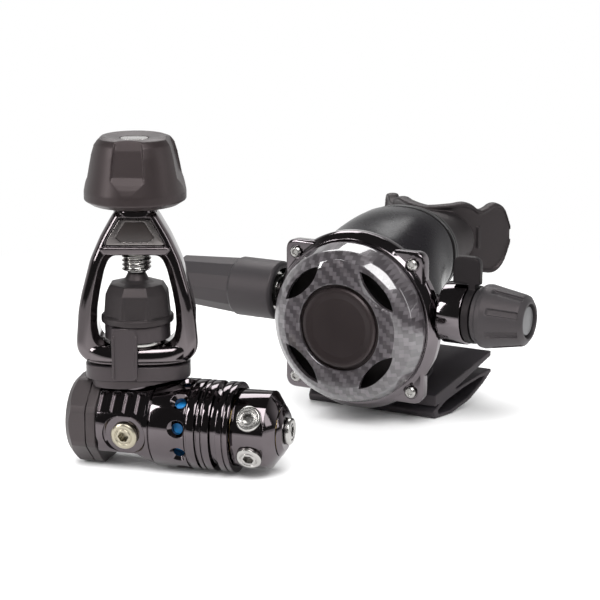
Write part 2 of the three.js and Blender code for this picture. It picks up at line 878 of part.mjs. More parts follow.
function addTurret() {
  const flangeLeft = bodyEnd - coreFlangeLength;
  const coreEnd = turretRight + turretConeLength;
  const core = turned([
    [coreBore, flangeLeft],
    [ambientBoreRadius - clearance, flangeLeft],
    [ambientBoreRadius - clearance, bodyEnd],
    [coreRadius, bodyEnd],
    [coreRadius, coreEnd],
    [coreBore, coreEnd],
  ], 'x', mediumSides);
  piece('swivel_core', core, brass(), firstStage);

  const blank = turned([
    [coreRadius + clearance, turretLeft],
    [turretRadius, turretLeft],
    [turretRadius, turretRight],
    [turretTipRadius, turretRight + turretConeLength],
    [coreRadius + clearance, turretRight + turretConeLength],
  ], 'x', roundSides);
  const tools = [];
  const ports = [lowPortTilt, -lowPortTilt, 180 - lowPortTilt, 180 + lowPortTilt];
  for (const side of ports) {
    const flatLeft = turretLeft + turretFlatMargin;
    const flat = block(
      [turretFlatDistance, turretFlatDistance + overrun],
      [flatLeft - lowPortAt, turretRight - lowPortAt],
      [-turretRadius, turretRadius],
    );
    const hole = rod(portHoleRadius, 0, turretRadius + overrun, 'x', smallSides);
    tools.push(toPort(flat, lowPortAt, side), toPort(hole, lowPortAt, side));
  }
  piece('turret', cut(blank, ...tools), blackChrome(), firstStage);

  ports.forEach((side, i) => {
    const seatAt = turretFlatDistance + clearance;
    const body = plug(lowPlugRadius, lowPlugThickness, plugStemRadius, lowPlugStemLength, seatAt);
    piece(`low_port_plug_${i + 1}`, toPort(body, lowPortAt, side), brightSteel(), firstStage);
  });

  const headLeft = turretRight + turretConeLength + clearance;
  const headRight = headLeft + boltHeadLength;
  const bolt = turned([
    [boltBore, headLeft - boltStemLength],
    [boltStemRadius, headLeft - boltStemLength],
    [boltStemRadius, headLeft],
    [turretTipRadius, headLeft],
    [boltTipRadius, headRight],
    [boltBore, headRight],
  ], 'x', mediumSides);
  piece('turret_bolt', bolt, blackChrome(), firstStage);
  const endPlug = plug(
    endPlugRadius, endPlugThickness, endPlugStemRadius, endPlugStemLength, headRight + clearance);
  piece('low_port_plug_end', endPlug, brightSteel(), firstStage);
}

// The yoke stands on the body and faces the viewer squarely
const yokeGroup = new THREE.Group();
yokeGroup.rotation.z = radians(firstStageTurn);
firstStage.add(yokeGroup);

// Half outlines as shares of the half width and of the height, from the bottom up
const yokeOutlineShares = [
  [0.83, 0], [0.985, 0.075], [1, 0.13], [0.98, 0.22], [0.955, 0.34], [0.9, 0.45], [0.74, 0.68],
  [0.57, 0.83], [0.38, 0.96], [0.31, 1],
];
const openingOutlineShares = [
  [0.72, 0], [0.94, 0.08], [1, 0.22], [0.985, 0.41], [0.91, 0.61], [0.79, 0.84], [0.69, 0.95], [0.58, 1],
];

function mirrored(shares, halfWidth, bottom, top) {
  const right = shares.map(([across, up]) => [across * halfWidth, bottom + up * (top - bottom)]);
  const left = right.map(([across, up]) => [-across, up]).reverse();
  return [...right, ...left];
}

function yokeArch() {
  const outline = mirrored(yokeOutlineShares, yokeHalfWidth, yokeBottom, yokeTop);
  const opening = mirrored(openingOutlineShares, openingHalfWidth, openingBottom, openingTop);
  const insetBy = (amount) => mirrored(
    yokeOutlineShares, yokeHalfWidth - amount, yokeBottom + amount / 2, yokeTop);
  const ringOf = (points, y) => points.map(([x, z]) => [x, y, z]);
  const cornerShare = 0.3;
  const outer = loft([
    ringOf(insetBy(yokeBevel), -yokeHalfDepth),
    ringOf(insetBy(yokeBevel * cornerShare), -yokeHalfDepth + yokeBevel * cornerShare),
    ringOf(outline, -yokeHalfDepth + yokeBevel),
    ringOf(outline, yokeHalfDepth - yokeBevel),
    ringOf(insetBy(yokeBevel * cornerShare), yokeHalfDepth - yokeBevel * cornerShare),
    ringOf(insetBy(yokeBevel), yokeHalfDepth),
  ]);
  const wide = mirrored(
    openingOutlineShares, openingHalfWidth + yokeBevel, openingBottom - yokeBevel, openingTop + yokeBevel);
  const flare = (from, to) => loft([ringOf(from[0], from[1]), ringOf(to[0], to[1])]);
  const hole = plate(opening, -yokeHalfDepth - overrun, yokeHalfDepth + overrun);
  const frontFlare = flare([wide, -yokeHalfDepth - clearance], [opening, -yokeHalfDepth + yokeBevel]);
  const backFlare = flare([opening, yokeHalfDepth - yokeBevel], [wide, yokeHalfDepth + clearance]);
  return cut(outer, hole, frontFlare, backFlare);
}

function yoke() {
  const baseRing = (z, halfWidth, halfDepth) => ovalPoints(halfWidth, halfDepth, roundSides, 3)
    .map(([x, y]) => [x, y, z]);
  const baseWide = yokeBaseHalfWidth + yokeBaseFlare;
  const base = loft([
    baseRing(openingBottom, baseWide - yokeBaseRound / 2, yokeBaseHalfDepth - yokeBaseRound),
    baseRing(openingBottom - yokeBaseRound, baseWide, yokeBaseHalfDepth - yokeBaseRound / 4),
    baseRing(yokeBottom + yokeBaseRound, yokeBaseHalfWidth, yokeBaseHalfDepth),
    baseRing(yokeBottom, yokeBaseHalfWidth - yokeBaseRound / 2, yokeBaseHalfDepth - yokeBaseRound / 2),
  ]);
  const crownBottom = yokeTop - yokeCrownLength;
  const crown = rod(yokeCrownRadius, crownBottom, yokeTop, 'z', mediumSides);
  const screwHole = rod(screwHoleRadius, openingTop - overrun, yokeTop + overrun, 'z', mediumSides);
  const stemHole = rod(
    retainerStemRadius + clearance, yokeBottom - overrun, openingBottom + overrun, 'z', mediumSides);
  const plaque = [
    [plaqueBottomHalfWidth, plaqueBottom],
    [plaqueTopHalfWidth, plaqueTop],
    [-plaqueTopHalfWidth, plaqueTop],
    [-plaqueBottomHalfWidth, plaqueBottom],
  ];
  const front = -yokeHalfDepth;
  const pocket = plate(plaque, front - yokeCrownRadius, front + plaqueDepth);
  const badgeMiddle = (plaqueTop + plaqueBottom) / 2;
  const badge = plate([
    [badgeHalfWidth, badgeMiddle - badgeHalfHeight / 2],
    [badgeHalfWidth / 2, badgeMiddle + badgeHalfHeight],
    [-badgeHalfWidth / 2, badgeMiddle + badgeHalfHeight],
    [-badgeHalfWidth, badgeMiddle - badgeHalfHeight / 2],
    [-badgeHalfWidth * 0.7, badgeMiddle - badgeHalfHeight],
    [badgeHalfWidth * 0.7, badgeMiddle - badgeHalfHeight],
  ], front + plaqueDepth - badgeRise, front + plaqueDepth + badgeRise);
  const arch = join(yokeArch(), base, crown);
  return cut(join(cut(arch, pocket), badge), screwHole, stemHole);
}

const retainerTop = openingBottom + clearance + retainerFlangeThickness;
const capBottom = retainerTop + clearance;

function addYoke() {
  piece('yoke', yoke(), blackChrome(), yokeGroup);

  const flangeBottom = openingBottom + clearance;
  const spigotTop = retainerTop + spigotHeight;
  const stemBottom = yokePortFloor + clearance;
  const retainer = turned([
    [inletBore, stemBottom],
    [retainerStemRadius, stemBottom],
    [retainerStemRadius, flangeBottom],
    [retainerFlangeRadius, flangeBottom],
    [retainerFlangeRadius, retainerTop],
    [spigotRadius, retainerTop],
    [spigotRadius, spigotTop],
    [inletBore, spigotTop],
  ], 'z', mediumSides);
  piece('yoke_retainer', retainer, brightSteel(), yokeGroup);

  const filterTop = spigotTop - clearance;
  const filter = turned([
    [0, filterTop - filterLength],
    [inletBore - clearance, filterTop - filterLength],
    [filterTipRadius, filterTop],
    [0, filterTop],
  ], 'z', smallSides);
  piece('inlet_filter', filter, brass(), yokeGroup);

  const flangeTop = capFlangeAt + capFlangeThickness;
  const shoulderTop = capFlangeAt + capShoulderHeight;
  const recessTop = spigotTop + clearance;
  const cap = turned([
    [0, recessTop],
    [spigotRadius + clearance, recessTop],
    [spigotRadius + clearance, capBottom],
    [capStemRadius, capBottom],
    [capStemRadius, capFlangeAt],
    [capFlangeRadius, capFlangeAt],
    [capFlangeRadius, flangeTop],
    [capBodyRadius, flangeTop],
    [capBodyRadius - capShoulderHeight / 12, shoulderTop - capShoulderHeight / 4],
    [capShoulderRadius, shoulderTop],
    [capNeckRadius, shoulderTop],
    [capTipRadius, capTop],
    [0, capTop],
  ], 'z', mediumSides);
  piece('dust_cap', cap, blackRubber(), yokeGroup);
  piece('dust_cap_strap', dustCapStrap(), blackRubber(), yokeGroup);
}

// Hoop round the cap, band over the yoke's base, and a two-tier ring between yoke and body
function dustCapStrap() {
  const hoopInner = capStemRadius + clearance;
  const hoopTop = capFlangeAt - clearance;
  const hoopBottom = capBottom + clearance;
  const hoop = rod(hoopInner + hoopThickness, hoopBottom, hoopTop, 'z', mediumSides);
  const hoopBore = rod(hoopInner, hoopBottom - overrun, hoopTop + overrun, 'z', mediumSides);
  const tier = (halfWidth, halfDepth, bottom, top) => slab(
    ovalPoints(halfWidth, halfDepth, roundSides, 3), bottom, top);
  const upperTier = tier(upperTierHalfWidth, upperTierHalfDepth, upperTierBottom, yokeBottom - clearance);
  const lowerTier = tier(lowerTierHalfWidth, lowerTierHalfDepth, lowerTierBottom, upperTierBottom);
  const strapX1 = strapX - strapWidth / 2;
  const strapX2 = strapX + strapWidth / 2;
  const band = block(
    [strapX1, strapX2], [-strapFront, strapThickness - strapFront], [strapBottom, hoopTop]);
  const upperEnd = block([strapX1, strapX2], [-strapFront, -hoopInner / 2], [hoopBottom, hoopTop]);
  const lowerEnd = block(
    [strapX1, strapX2], [-strapFront, -lowerTierHalfDepth / 2], [strapBottom, yokeBottom - clearance]);
  const reach = upperTierHalfWidth + overrun;
  const bodyTool = rod(endCapRadius + clearance, -reach, reach, 'x', roundSides);
  bodyTool.rotateZ(-radians(firstStageTurn));
  const bossHole = rod(
    bossRadius + clearance, lowerTierBottom - overrun, yokeBottom + overrun, 'z', mediumSides);
  const whole = join(hoop, band, upperEnd, upperTier, lowerTier, lowerEnd);
  return cut(whole, hoopBore, bodyTool, bossHole);
}

// Rings of thread are cut only where the screw shows in the opening
function yokeScrew() {
  const bottom = capTop + clearance;
  const threadStart = bottom + screwTipLength;
  const profile = [[0, bottom], [screwTipRadius, bottom], [screwTipRadius, threadStart]];
  for (let i = 0; i < threadCount; i += 1) {
    const start = threadStart + i * threadPitch;
    profile.push([screwRadius - threadDepth, start + clearance / 2]);
    profile.push([screwRadius, start + threadPitch / 2]);
    profile.push([screwRadius - threadDepth, start + threadPitch - clearance / 2]);
  }
  const threadEnd = threadStart + threadCount * threadPitch;
  profile.push([screwRadius, threadEnd + clearance], [screwRadius, screwTop], [0, screwTop]);
  return turned(profile, 'z', mediumSides);
}

function yokeKnob() {
  const recess = knobDish + topDiscThickness + clearance;
  const blank = turned([
    [0, knobBottom],
    [knobFootRadius, knobBottom],
    [knobRadius, knobBottom + knobFootHeight],
    [knobRadius, knobBottom + knobWaistHeight],
    [knobShoulderRadius, knobTop - knobShoulderDrop],
    [knobCrownRadius, knobTop - knobCrownDrop],
    [knobRimRadius, knobTop],
    [topDiscRadius + clearance, knobTop - knobDish],
    [0, knobTop - knobDish],
  ], 'z', roundSides);
  const discSeat = rod(topDiscRadius + clearance, knobTop - recess, knobTop + overrun, 'z', mediumSides);
  const bore = rod(screwRadius + clearance, knobBottom - overrun, screwTop + clearance, 'z', mediumSides);
  const tools = [discSeat, bore];
  for (let i = 0; i < knobGrooveCount; i += 1) {
    const groove = block(
      [-knobGrooveWidth / 2, knobGrooveWidth / 2],
      [-knobRadius - overrun, -knobGrooveDistance],
      [knobGrooveBottom, knobTop + overrun],
    );
    tools.push(groove.rotateZ(radians(knobGroovePhase) + (2 * Math.PI * i) / knobGrooveCount));
  }
  return cut(blank, ...tools);
}

function addScrewAndKnob() {
  piece('yoke_screw', yokeScrew(), brightSteel(), yokeGroup);
  piece('yoke_knob', yokeKnob(), blackRubber(), yokeGroup);
  const discTop = knobTop - knobDish;
  const disc = rod(topDiscRadius, discTop - topDiscThickness, discTop, 'z', mediumSides);
  piece('knob_top_disc', disc, brightSteel(), yokeGroup);
}

const secondStage = new THREE.Group();
secondStage.position.set(secondStageX, secondStageY, screwPlaneHeight);
secondStage.rotation.z = -radians(secondStageTurn);

// Everything on the valve's axis is turned about this group's X axis
const barrelGroup = new THREE.Group();
barrelGroup.position.set(0, barrelBack, barrelUp);
secondStage.add(barrelGroup);

const screwReach = screwSpacing / 2;
const screwPlaces = [[-1, 1], [1, 1], [1, -1], [-1, -1]].map(([x, z]) => [x * screwReach, z * screwReach]);

function barrelHole() {
  const reach = bezelRadius + overrun;
  const hole = rod(barrelTubeRadius + clearance, -reach, reach, 'x', mediumSides);
  return hole.translate(0, barrelBack, barrelUp);
}

function roundedSquare(half, corner) {
  const steps = 4;
  const points = [];
  for (let quarter = 0; quarter < 4; quarter += 1) {
    const middleTurn = quarterTurn * (quarter + 0.5);
    const sides = [Math.sign(Math.cos(middleTurn)), Math.sign(Math.sin(middleTurn))];
    const centre = sides.map((side) => side * (half - corner));
    for (let i = 0; i <= steps; i += 1) {
      const angle = quarterTurn * (quarter + i / steps);
      points.push([centre[0] + corner * Math.cos(angle), centre[1] + corner * Math.sin(angle)]);
    }
  }
  return points;
}

// A ring with a bevelled front edge and a square plate whose corners carry the screws
function bezel() {
  const ring = turned([
    [0, bezelFront],
    [bezelFrontRadius, bezelFront],
    [bezelRadius, bezelShoulder],
    [bezelRadius, bezelBack],
    [0, bezelBack],
  ], 'y', roundSides);
  const square = plate(roundedSquare(screwReach + lugMargin, lugCorner), 0, bezelBack - clearance);
  const holes = screwPlaces.map(([x, z]) => rod(
    screwShankRadius + clearance, -overrun, bezelBack + overrun, 'y', smallSides).translate(x, 0, z));
  const heads = screwPlaces.map(([x, z]) => rod(
    screwHeadRadius + clearance, -overrun, 0, 'y', mediumSides).translate(x, 0, z));
  const bore = rod(bezelBore, bezelFront - overrun, bezelBack + overrun, 'y', roundSides);
  return cut(join(ring, square), bore, barrelHole(), ...holes, ...heads);
}

function coverScrew() {
  const seat = -clearance;
  const front = seat - screwHeadThickness;
  const blank = turned([
    [0, front],
    [screwHeadRadius * 0.8, front],
    [screwHeadRadius, front + screwHeadThickness / 2],
    [screwHeadRadius, seat],
    [screwShankRadius, seat],
    [screwShankRadius, seat + screwShankLength],
    [0, seat + screwShankLength],
  ], 'y', smallSides);
  const socket = rod(screwSocketRadius, front - overrun, front + screwSocketDepth, 'y', 6);
  return cut(blank, socket);
}

// Four lens-shaped slots lie along a circle round the button
function frontCover() {
  const rim = bezelFront - clearance;
  const blank = turned([
    [coverHole, coverCrown + coverWall],
    [coverHole, coverCrown],
    [coverFlatRadius, coverCrown],
    [(coverFlatRadius + coverHipRadius) / 2, coverCrown + clearance * 3],
    [coverHipRadius, coverHip],
    [coverRimRadius, coverRimFront],
    [coverRimRadius, rim],
    [coverRimRadius - coverWall, rim],
    [coverRimRadius - coverWall, coverRimFront + clearance],
    [coverHipRadius - coverWall, coverHip + coverWall],
    [coverFlatRadius, coverCrown + coverWall],
  ], 'y', roundSides);
  const half = slotLength / 2;
  const bulge = slotWidth / 2;
  const arcPoints = [];
  const arcSteps = 6;
  for (let i = 0; i <= arcSteps; i += 1) {
    const share = -1 + (2 * i) / arcSteps;
    arcPoints.push([share * half, -bulge * (1 - Math.abs(share) ** slotFullness)]);
  }
  const lens = [...arcPoints, ...arcPoints.slice(1, -1).map(([x, z]) => [x, -z]).reverse()];
  const slots = [];
  for (let i = 0; i < slotCount; i += 1) {
    const slot = plate(lens, coverCrown - overrun, 0).translate(0, 0, slotDistance);
    slots.push(slot.rotateY(Math.PI / 4 + (2 * Math.PI * i) / slotCount));
  }
  return cut(blank, ...slots);
}

const flangeFront = coverCrown + coverWall + clearance;

function purgeButton() {
  const flangeBack = flangeFront + buttonFlangeThickness;
  const dish = buttonFlangeThickness;
  return turned([
    [0, buttonFront + dish / 2],
    [buttonRadius * 0.7, buttonFront + dish / 2],
    [buttonRadius - dish, buttonFront],
    [buttonRadius, buttonFront + dish / 2],
    [buttonRadius, flangeFront],
    [buttonFlangeRadius, flangeFront],
    [buttonFlangeRadius, flangeBack],
    [0, flangeBack],
  ], 'y', roundSides);
}

function addFront() {
  piece('front_bezel', bezel(), blackChrome(), secondStage);
  screwPlaces.forEach(([x, z], i) => {
    piece(`cover_screw_${i + 1}`, coverScrew().translate(x, 0, z), brightSteel(), secondStage);
  });
  piece('front_cover', frontCover(), carbonWeave(), secondStage);
  piece('purge_button', purgeButton(), blackRubber(), secondStage);

  const springFront = flangeFront + buttonFlangeThickness + clearance;
  const springBack = diaphragmFront - clearance;
  const purgeSpring = spring(
    'purge_spring', purgeSpringRadius, purgeSpringWire, springFront, springBack, purgeSpringTurns);
  piece('purge_spring', purgeSpring.rotateZ(quarterTurn), brightSteel(), secondStage);

  const back = diaphragmFront + diaphragmThickness;
  const membrane = tube(
    discRadius + clearance, housingRimOuter - diaphragmInset, diaphragmFront, back, 'y', roundSides);
  piece('diaphragm', membrane, blackRubber(), secondStage);
  const disc = rod(discRadius, diaphragmFront, back, 'y', mediumSides);
  piece('diaphragm_disc', disc, brightSteel(), secondStage);
}

// Drum sections from the rim back: depth share, then how far each has moved from rim to drum
const drumDepthShares = [0, 0.14, 0.32, 0.52, 0.74, 1];
const drumMorphShares = [0, 0.08, 0.34, 0.66, 0.9, 1];

function drum(wall, rimRadius) {
  const front = bezelBack + clearance;
  const mix = (from, to, share) => from + (to - from) * share;
  return loft(drumDepthShares.map((depthShare, i) => {
    const share = drumMorphShares[i];
    return ovalRing(
      mix(front, drumEnd - wall, depthShare),
      mix(rimRadius, drumHalfWidth - wall, share),
      mix(rimRadius, drumHalfHeight - wall, share),
      mix(0, drumUp, share),
      mix(2, 2.6, share),
      roundSides,
    );
  }));
}

function housing() {
  const front = bezelBack + clearance;
  const rim = rod(housingRimOuter, housingRimFront, front + overrun, 'y', roundSides);
  const mouth = rod(housingRimInner, housingRimFront - overrun, front + overrun, 'y', roundSides);
  const neck = loft([
    ovalRing(drumEnd - housingWall, neckHalfWidth, neckHalfHeight, drumUp),
    ovalRing(neckEnd, neckHalfWidth, neckHalfHeight, drumUp),
  ]);
  const neckBore = loft([
    ovalRing(drumEnd - housingWall - overrun, neckBoreHalfWidth, neckBoreHalfHeight, drumUp),
    ovalRing(neckEnd + overrun, neckBoreHalfWidth, neckBoreHalfHeight, drumUp),
  ]);
  const boss = rod(exhaustBossRadius, exhaustBossBottom, exhaustBossTop, 'z', mediumSides)
    .translate(0, exhaustBack, 0);
  const port = rod(exhaustHoleRadius, exhaustBossBottom - overrun, 0, 'z', mediumSides)
    .translate(0, exhaustBack, 0);
  const outside = join(drum(0, housingRadius), rim, neck, boss);
  return cut(outside, mouth, drum(housingWall, housingRimInner), neckBore, port, barrelHole());
}

function addHousing() {
  piece('housing', housing(), blackPlastic(), secondStage);
}

// The barrel's tube crosses the chamber and its bright sleeve stands outside on the right
function addBarrel() {
  const sleeveBevel = clearance * 3;
  const barrel = turned([
    [barrelBore, barrelLeft],
    [barrelTubeRadius, barrelLeft],
    [barrelTubeRadius, barrelSleeveLeft],
    [barrelSleeveRadius - sleeveBevel, barrelSleeveLeft],
    [barrelSleeveRadius, barrelSleeveLeft + sleeveBevel],
    [barrelSleeveRadius, barrelSleeveRight],
    [barrelBore, barrelSleeveRight],
  ], 'x', mediumSides);
  piece('valve_barrel', barrel, blackChrome(), barrelGroup);

  const springRight = adjusterScrewLeft - clearance;
  const springLeft = springRight - poppetSpringLength;
  const poppetRight = springLeft - poppetRoom;
  const poppetLeft = poppetRight - poppetLength;
  const inletTubeEnd = poppetLeft - clearance;

  const headRight = barrelLeft - clearance;
  const headLeft = headRight - inletHeadLength;
  const stemLeft = headLeft - inletStemLength;
  const fitting = turned([
    [inletTubeBore, stemLeft],
    [inletStemRadius, stemLeft],
    [inletStemRadius, headLeft],
    [inletHeadRadius, headLeft],
    [inletHeadRadius, headRight],
    [barrelBore - clearance, headRight],
    [barrelBore - clearance, inletTubeEnd],
    [inletTubeBore, inletTubeEnd],
  ], 'x', mediumSides);
  piece('inlet_fitting', fitting, brightSteel(), barrelGroup);

  const poppet = rod(poppetRadius, poppetLeft, poppetRight, 'x', smallSides);
  piece('poppet', poppet, blackPlastic(), barrelGroup);
  const poppetSpring = spring(
    'poppet_spring', poppetSpringRadius, poppetSpringWire, springLeft, springRight, poppetSpringTurns);
  piece('poppet_spring', poppetSpring, brightSteel(), barrelGroup);

  const nutRight = headLeft - clearance;
  const nutLeft = nutRight - nutLength;
  const nutBore = rod(
    inletStemRadius + clearance, nutLeft - overrun, nutRight + overrun, 'x', mediumSides);
  const nut = cut(rod(nutRadius, nutLeft, nutRight, 'x', nutSides), nutBore);
  piece('hose_nut', nut, brightSteel(), barrelGroup);
  const ferruleRight = nutLeft - clearance;
  const ferrule = tube(
    ferruleBore, ferruleRadius, ferruleRight - ferruleLength, ferruleRight, 'x', mediumSides);
  piece('hose_ferrule', ferrule, brightSteel(), barrelGroup);
  piece('hose_guard', hoseGuard(), blackRubber(), barrelGroup);
}

// A smooth sleeve next to the housing and a faceted, tapering tail with an open mouth
function hoseGuard() {
  const smooth = turned([
    [0, guardShoulder],
    [guardRadius - guardChamfer, guardShoulder],
    [guardRadius, guardShoulder + guardChamfer],
    [guardRadius, guardStart - guardChamfer],
    [guardRadius - guardChamfer, guardStart],
    [0, guardStart],
  ], 'x', mediumSides);
  const tail = turned([
    [0, guardEnd],
    [guardEndRadius - guardChamfer * 2, guardEnd],
    [guardEndRadius, guardEnd + guardChamfer * 2],
    [guardFacetRadius, guardShoulder],
    [0, guardShoulder + overrun],
  ], 'x', guardFacets);
  const bore = rod(guardBore, guardBoreEnd, guardStart + overrun, 'x', mediumSides);
  const mouth = rod(guardMouthRadius, guardEnd - overrun, guardBoreEnd + overrun, 'x', mediumSides);
  return cut(join(smooth, tail), bore, mouth);
}

// A ring on the barrel carries an upright thumb tab
function venturiLever() {
  const ring = rod(leverRingRadius, leverRingLeft, leverRingRight, 'x', mediumSides);
  const bore = rod(leverRingBore, leverRingLeft - overrun, leverRingRight + overrun, 'x', mediumSides);
  const corner = leverTabCorner;
  const tab = plate([
    [leverTabLeft, leverTabBottom],
    [leverTabRight, leverTabBottom],
    [leverTabRight, leverTabTop - corner],
    [leverTabRight - corner * 0.3, leverTabTop - corner * 0.3],
    [leverTabRight - corner, leverTabTop],
    [leverTabLeft + corner, leverTabTop],
    [leverTabLeft + corner * 0.3, leverTabTop - corner * 0.3],
    [leverTabLeft, leverTabTop - corner],
  ], leverTabFront, leverTabBack);
  const stem = block(
    [leverRingLeft, leverRingRight],
    [leverTabFront, leverTabFront + leverStemWidth],
    [leverRingBore + clearance, leverTabBottom + overrun],
  );
  return cut(join(ring, tab, stem), bore);
}

function adjustmentKnob() {
  const start = adjusterStart;
  const collarRight = start + adjusterCollarLength;
  const lip = adjusterEnd - adjusterEndRadius / 6;
  const blank = turned([
    [0, start],
    [adjusterCollarRadius, start],
    [adjusterCollarRadius, collarRight],
    [adjusterRadius - clearance, collarRight + clearance],
    [adjusterRadius, adjusterWidest],
    [adjusterEndRadius, lip],
    [adjusterLipRadius, adjusterEnd],
    [0, adjusterEnd],
  ], 'x', roundSides);
  const recess = rod(
    adjusterRecessRadius, adjusterEnd - adjusterRecess, adjusterEnd + overrun, 'x', mediumSides);
  const bore = rod(
    adjusterScrewRadius + clearance, start - overrun, adjusterScrewRight + clearance, 'x', smallSides);
  const tools = [recess, bore];
  for (let i = 0; i < adjusterGrooves; i += 1) {
    const groove = block(
      [adjusterWidest + adjusterGrooveWidth, lip],
      [-adjusterGrooveWidth / 2, adjusterGrooveWidth / 2],
      [adjusterEndRadius - adjusterGrooveDepth + clearance * 3, adjusterRadius + overrun],
    );
    tools.push(groove.rotateX((2 * Math.PI * (i + 0.5)) / adjusterGrooves));
  }
  return cut(blank, ...tools);
}

function addControls() {
  piece('venturi_lever', venturiLever(), blackRubber(), barrelGroup);
  piece('adjustment_knob', adjustmentKnob(), blackRubber(), barrelGroup);
  const screw = rod(adjusterScrewRadius, adjusterScrewLeft, adjusterScrewRight, 'x', smallSides);
  piece('adjustment_screw', screw, brightSteel(), barrelGroup);
  const discLeft = adjusterEnd - adjusterRecess + clearance;
  const disc = rod(endDiscRadius, discLeft, discLeft + endDiscThickness, 'x', mediumSides);
  piece('adjustment_end_disc', disc, brightSteel(), barrelGroup);

  const kneeBottom = barrelUp + barrelTubeRadius + clearance;
  const half = demandArmWidth / 2;
  const arm = swept([
    [demandPivotBack, kneeBottom],
    [demandPivotBack, kneeBottom + demandArmThickness],
    [demandKneeFront, kneeBottom + demandArmThickness],
    [demandPadFront, -demandPadDrop],
    [demandPadFront + demandArmThickness, -demandPadDrop],
    [demandKneeFront + demandArmThickness, kneeBottom],
  ], -half, half);
  piece('demand_lever', arm, brightSteel(), secondStage);
}

// Side profiles of the tee and of its duct, as shares of its length and height
const teeProfileShares = [
  [0.03, 0], [0.3, 0], [0.62, 0.24], [0.86, 0.62], [1, 0.92], [0.98, 1], [0.8, 0.94], [0.5, 0.78],
  [0.2, 0.56], [0, 0.2],
];
const ductProfileShares = [
  [0.1, 0.11], [0.3, 0.12], [0.6, 0.35], [0.82, 0.69], [0.9, 0.84], [0.78, 0.81], [0.5, 0.66],
  [0.22, 0.44], [0.08, 0.22],
];

function teeOutline(shares) {
  const length = teeBack - teeFront;
  return shares.map(([back, up]) => [teeFront + back * length, teeBottom + up * teeHeight]);
}

// Profiles in the YZ plane are drawn as [back, up] points and swept across X.
function swept(outline, left, right) {
  return plate(outline, left, right).rotateZ(quarterTurn);
}

// A flattened duct open at both sides, a web above it and a saddle that holds it to the housing
function exhaustTee() {
  const reach = teeBackHalfWidth + overrun;
  const wing = swept(teeOutline(teeProfileShares), -reach, reach);
  const web = swept([
    [webFront, webRootDrop],
    [webBack, webTipDrop],
    [webBack, webTipDrop + webThickness],
    [webFront, webRootDrop + webThickness * 2],
  ], -reach, reach);
  const plan = slab([
    [-teeFrontHalfWidth, teeFront - overrun],
    [teeFrontHalfWidth, teeFront - overrun],
    [teeBackHalfWidth, teeBack + overrun],
    [-teeBackHalfWidth, teeBack + overrun],
  ], teeBottom - overrun, 0);
  const saddle = block(
    [-saddleHalfWidth, saddleHalfWidth], [saddleFront, saddleBack], [teeBottom + teeHeight / 2, saddleTop]);
  const duct = swept(teeOutline(ductProfileShares), -reach - overrun, reach + overrun);
  const bossRoom = rod(
    exhaustBossRadius + clearance, exhaustBossBottom - clearance, saddleTop + overrun, 'z', mediumSides);
  bossRoom.translate(0, exhaustBack, 0);
  const outlet = rod(valveDiscRadius + clearance, teeBottom + teeHeight / 2, saddleTop, 'z', mediumSides)
    .translate(0, exhaustBack, 0);
  const frontRoom = rod(bezelRadius + clearance, -overrun, bezelBack + clearance * 2, 'y', roundSides);
  const roomForDrum = drum(-clearance, housingRadius + clearance);
  const body = join(common(join(wing, web), plan), saddle);
  return cut(body, duct, bossRoom, outlet, frontRoom, roomForDrum);
}

function addExhaust() {
  piece('exhaust_tee', exhaustTee(), blackRubber(), secondStage);
  const top = exhaustBossBottom - clearance;
  const disc = rod(valveDiscRadius, top - valveDiscThickness, top, 'z', mediumSides);
  piece('exhaust_valve', disc.translate(0, exhaustBack, 0), blackRubber(), secondStage);
}

// Shield stations across the mouth: share of the half width, then shares of its upper and lower reach
const shieldStationShares = [0.12, 0.35, 0.54, 0.68, 0.8, 0.88, 0.95, 1];
const shieldTopShares = [0.88, 0.94, 0.98, 0.78, 0.9, 0.92, 0.7, 0.3];
const shieldBottomShares = [0.7, 0.86, 1, 0.95, 0.98, 0.94, 0.66, 0.25];

// The shield bows back towards both ends and keeps its thickness square to the bow
function shieldRing(share, topShare, bottomShare) {
  const x = share * shieldHalfWidth;
  const slope = (2 * shieldSweep * share) / shieldHalfWidth;
  const length = Math.hypot(1, slope);
  const front = shieldAt + shieldSweep * share ** 2;
  const inX = x - (shieldThickness * slope) / length;
  const back = front + shieldThickness / length;
  const top = shieldUp + shieldTopReach * topShare;
  const bottom = shieldUp - shieldBottomReach * bottomShare;
  return [[x, front, bottom], [x, front, top], [inX, back, top], [inX, back, bottom]];
}

function shield() {
  const right = shieldStationShares.map(
    (share, i) => shieldRing(share, shieldTopShares[i], shieldBottomShares[i]));
  const left = shieldStationShares.map(
    (share, i) => shieldRing(-share, shieldTopShares[i], shieldBottomShares[i])).reverse();
  return loft([...left, ...right]);
}

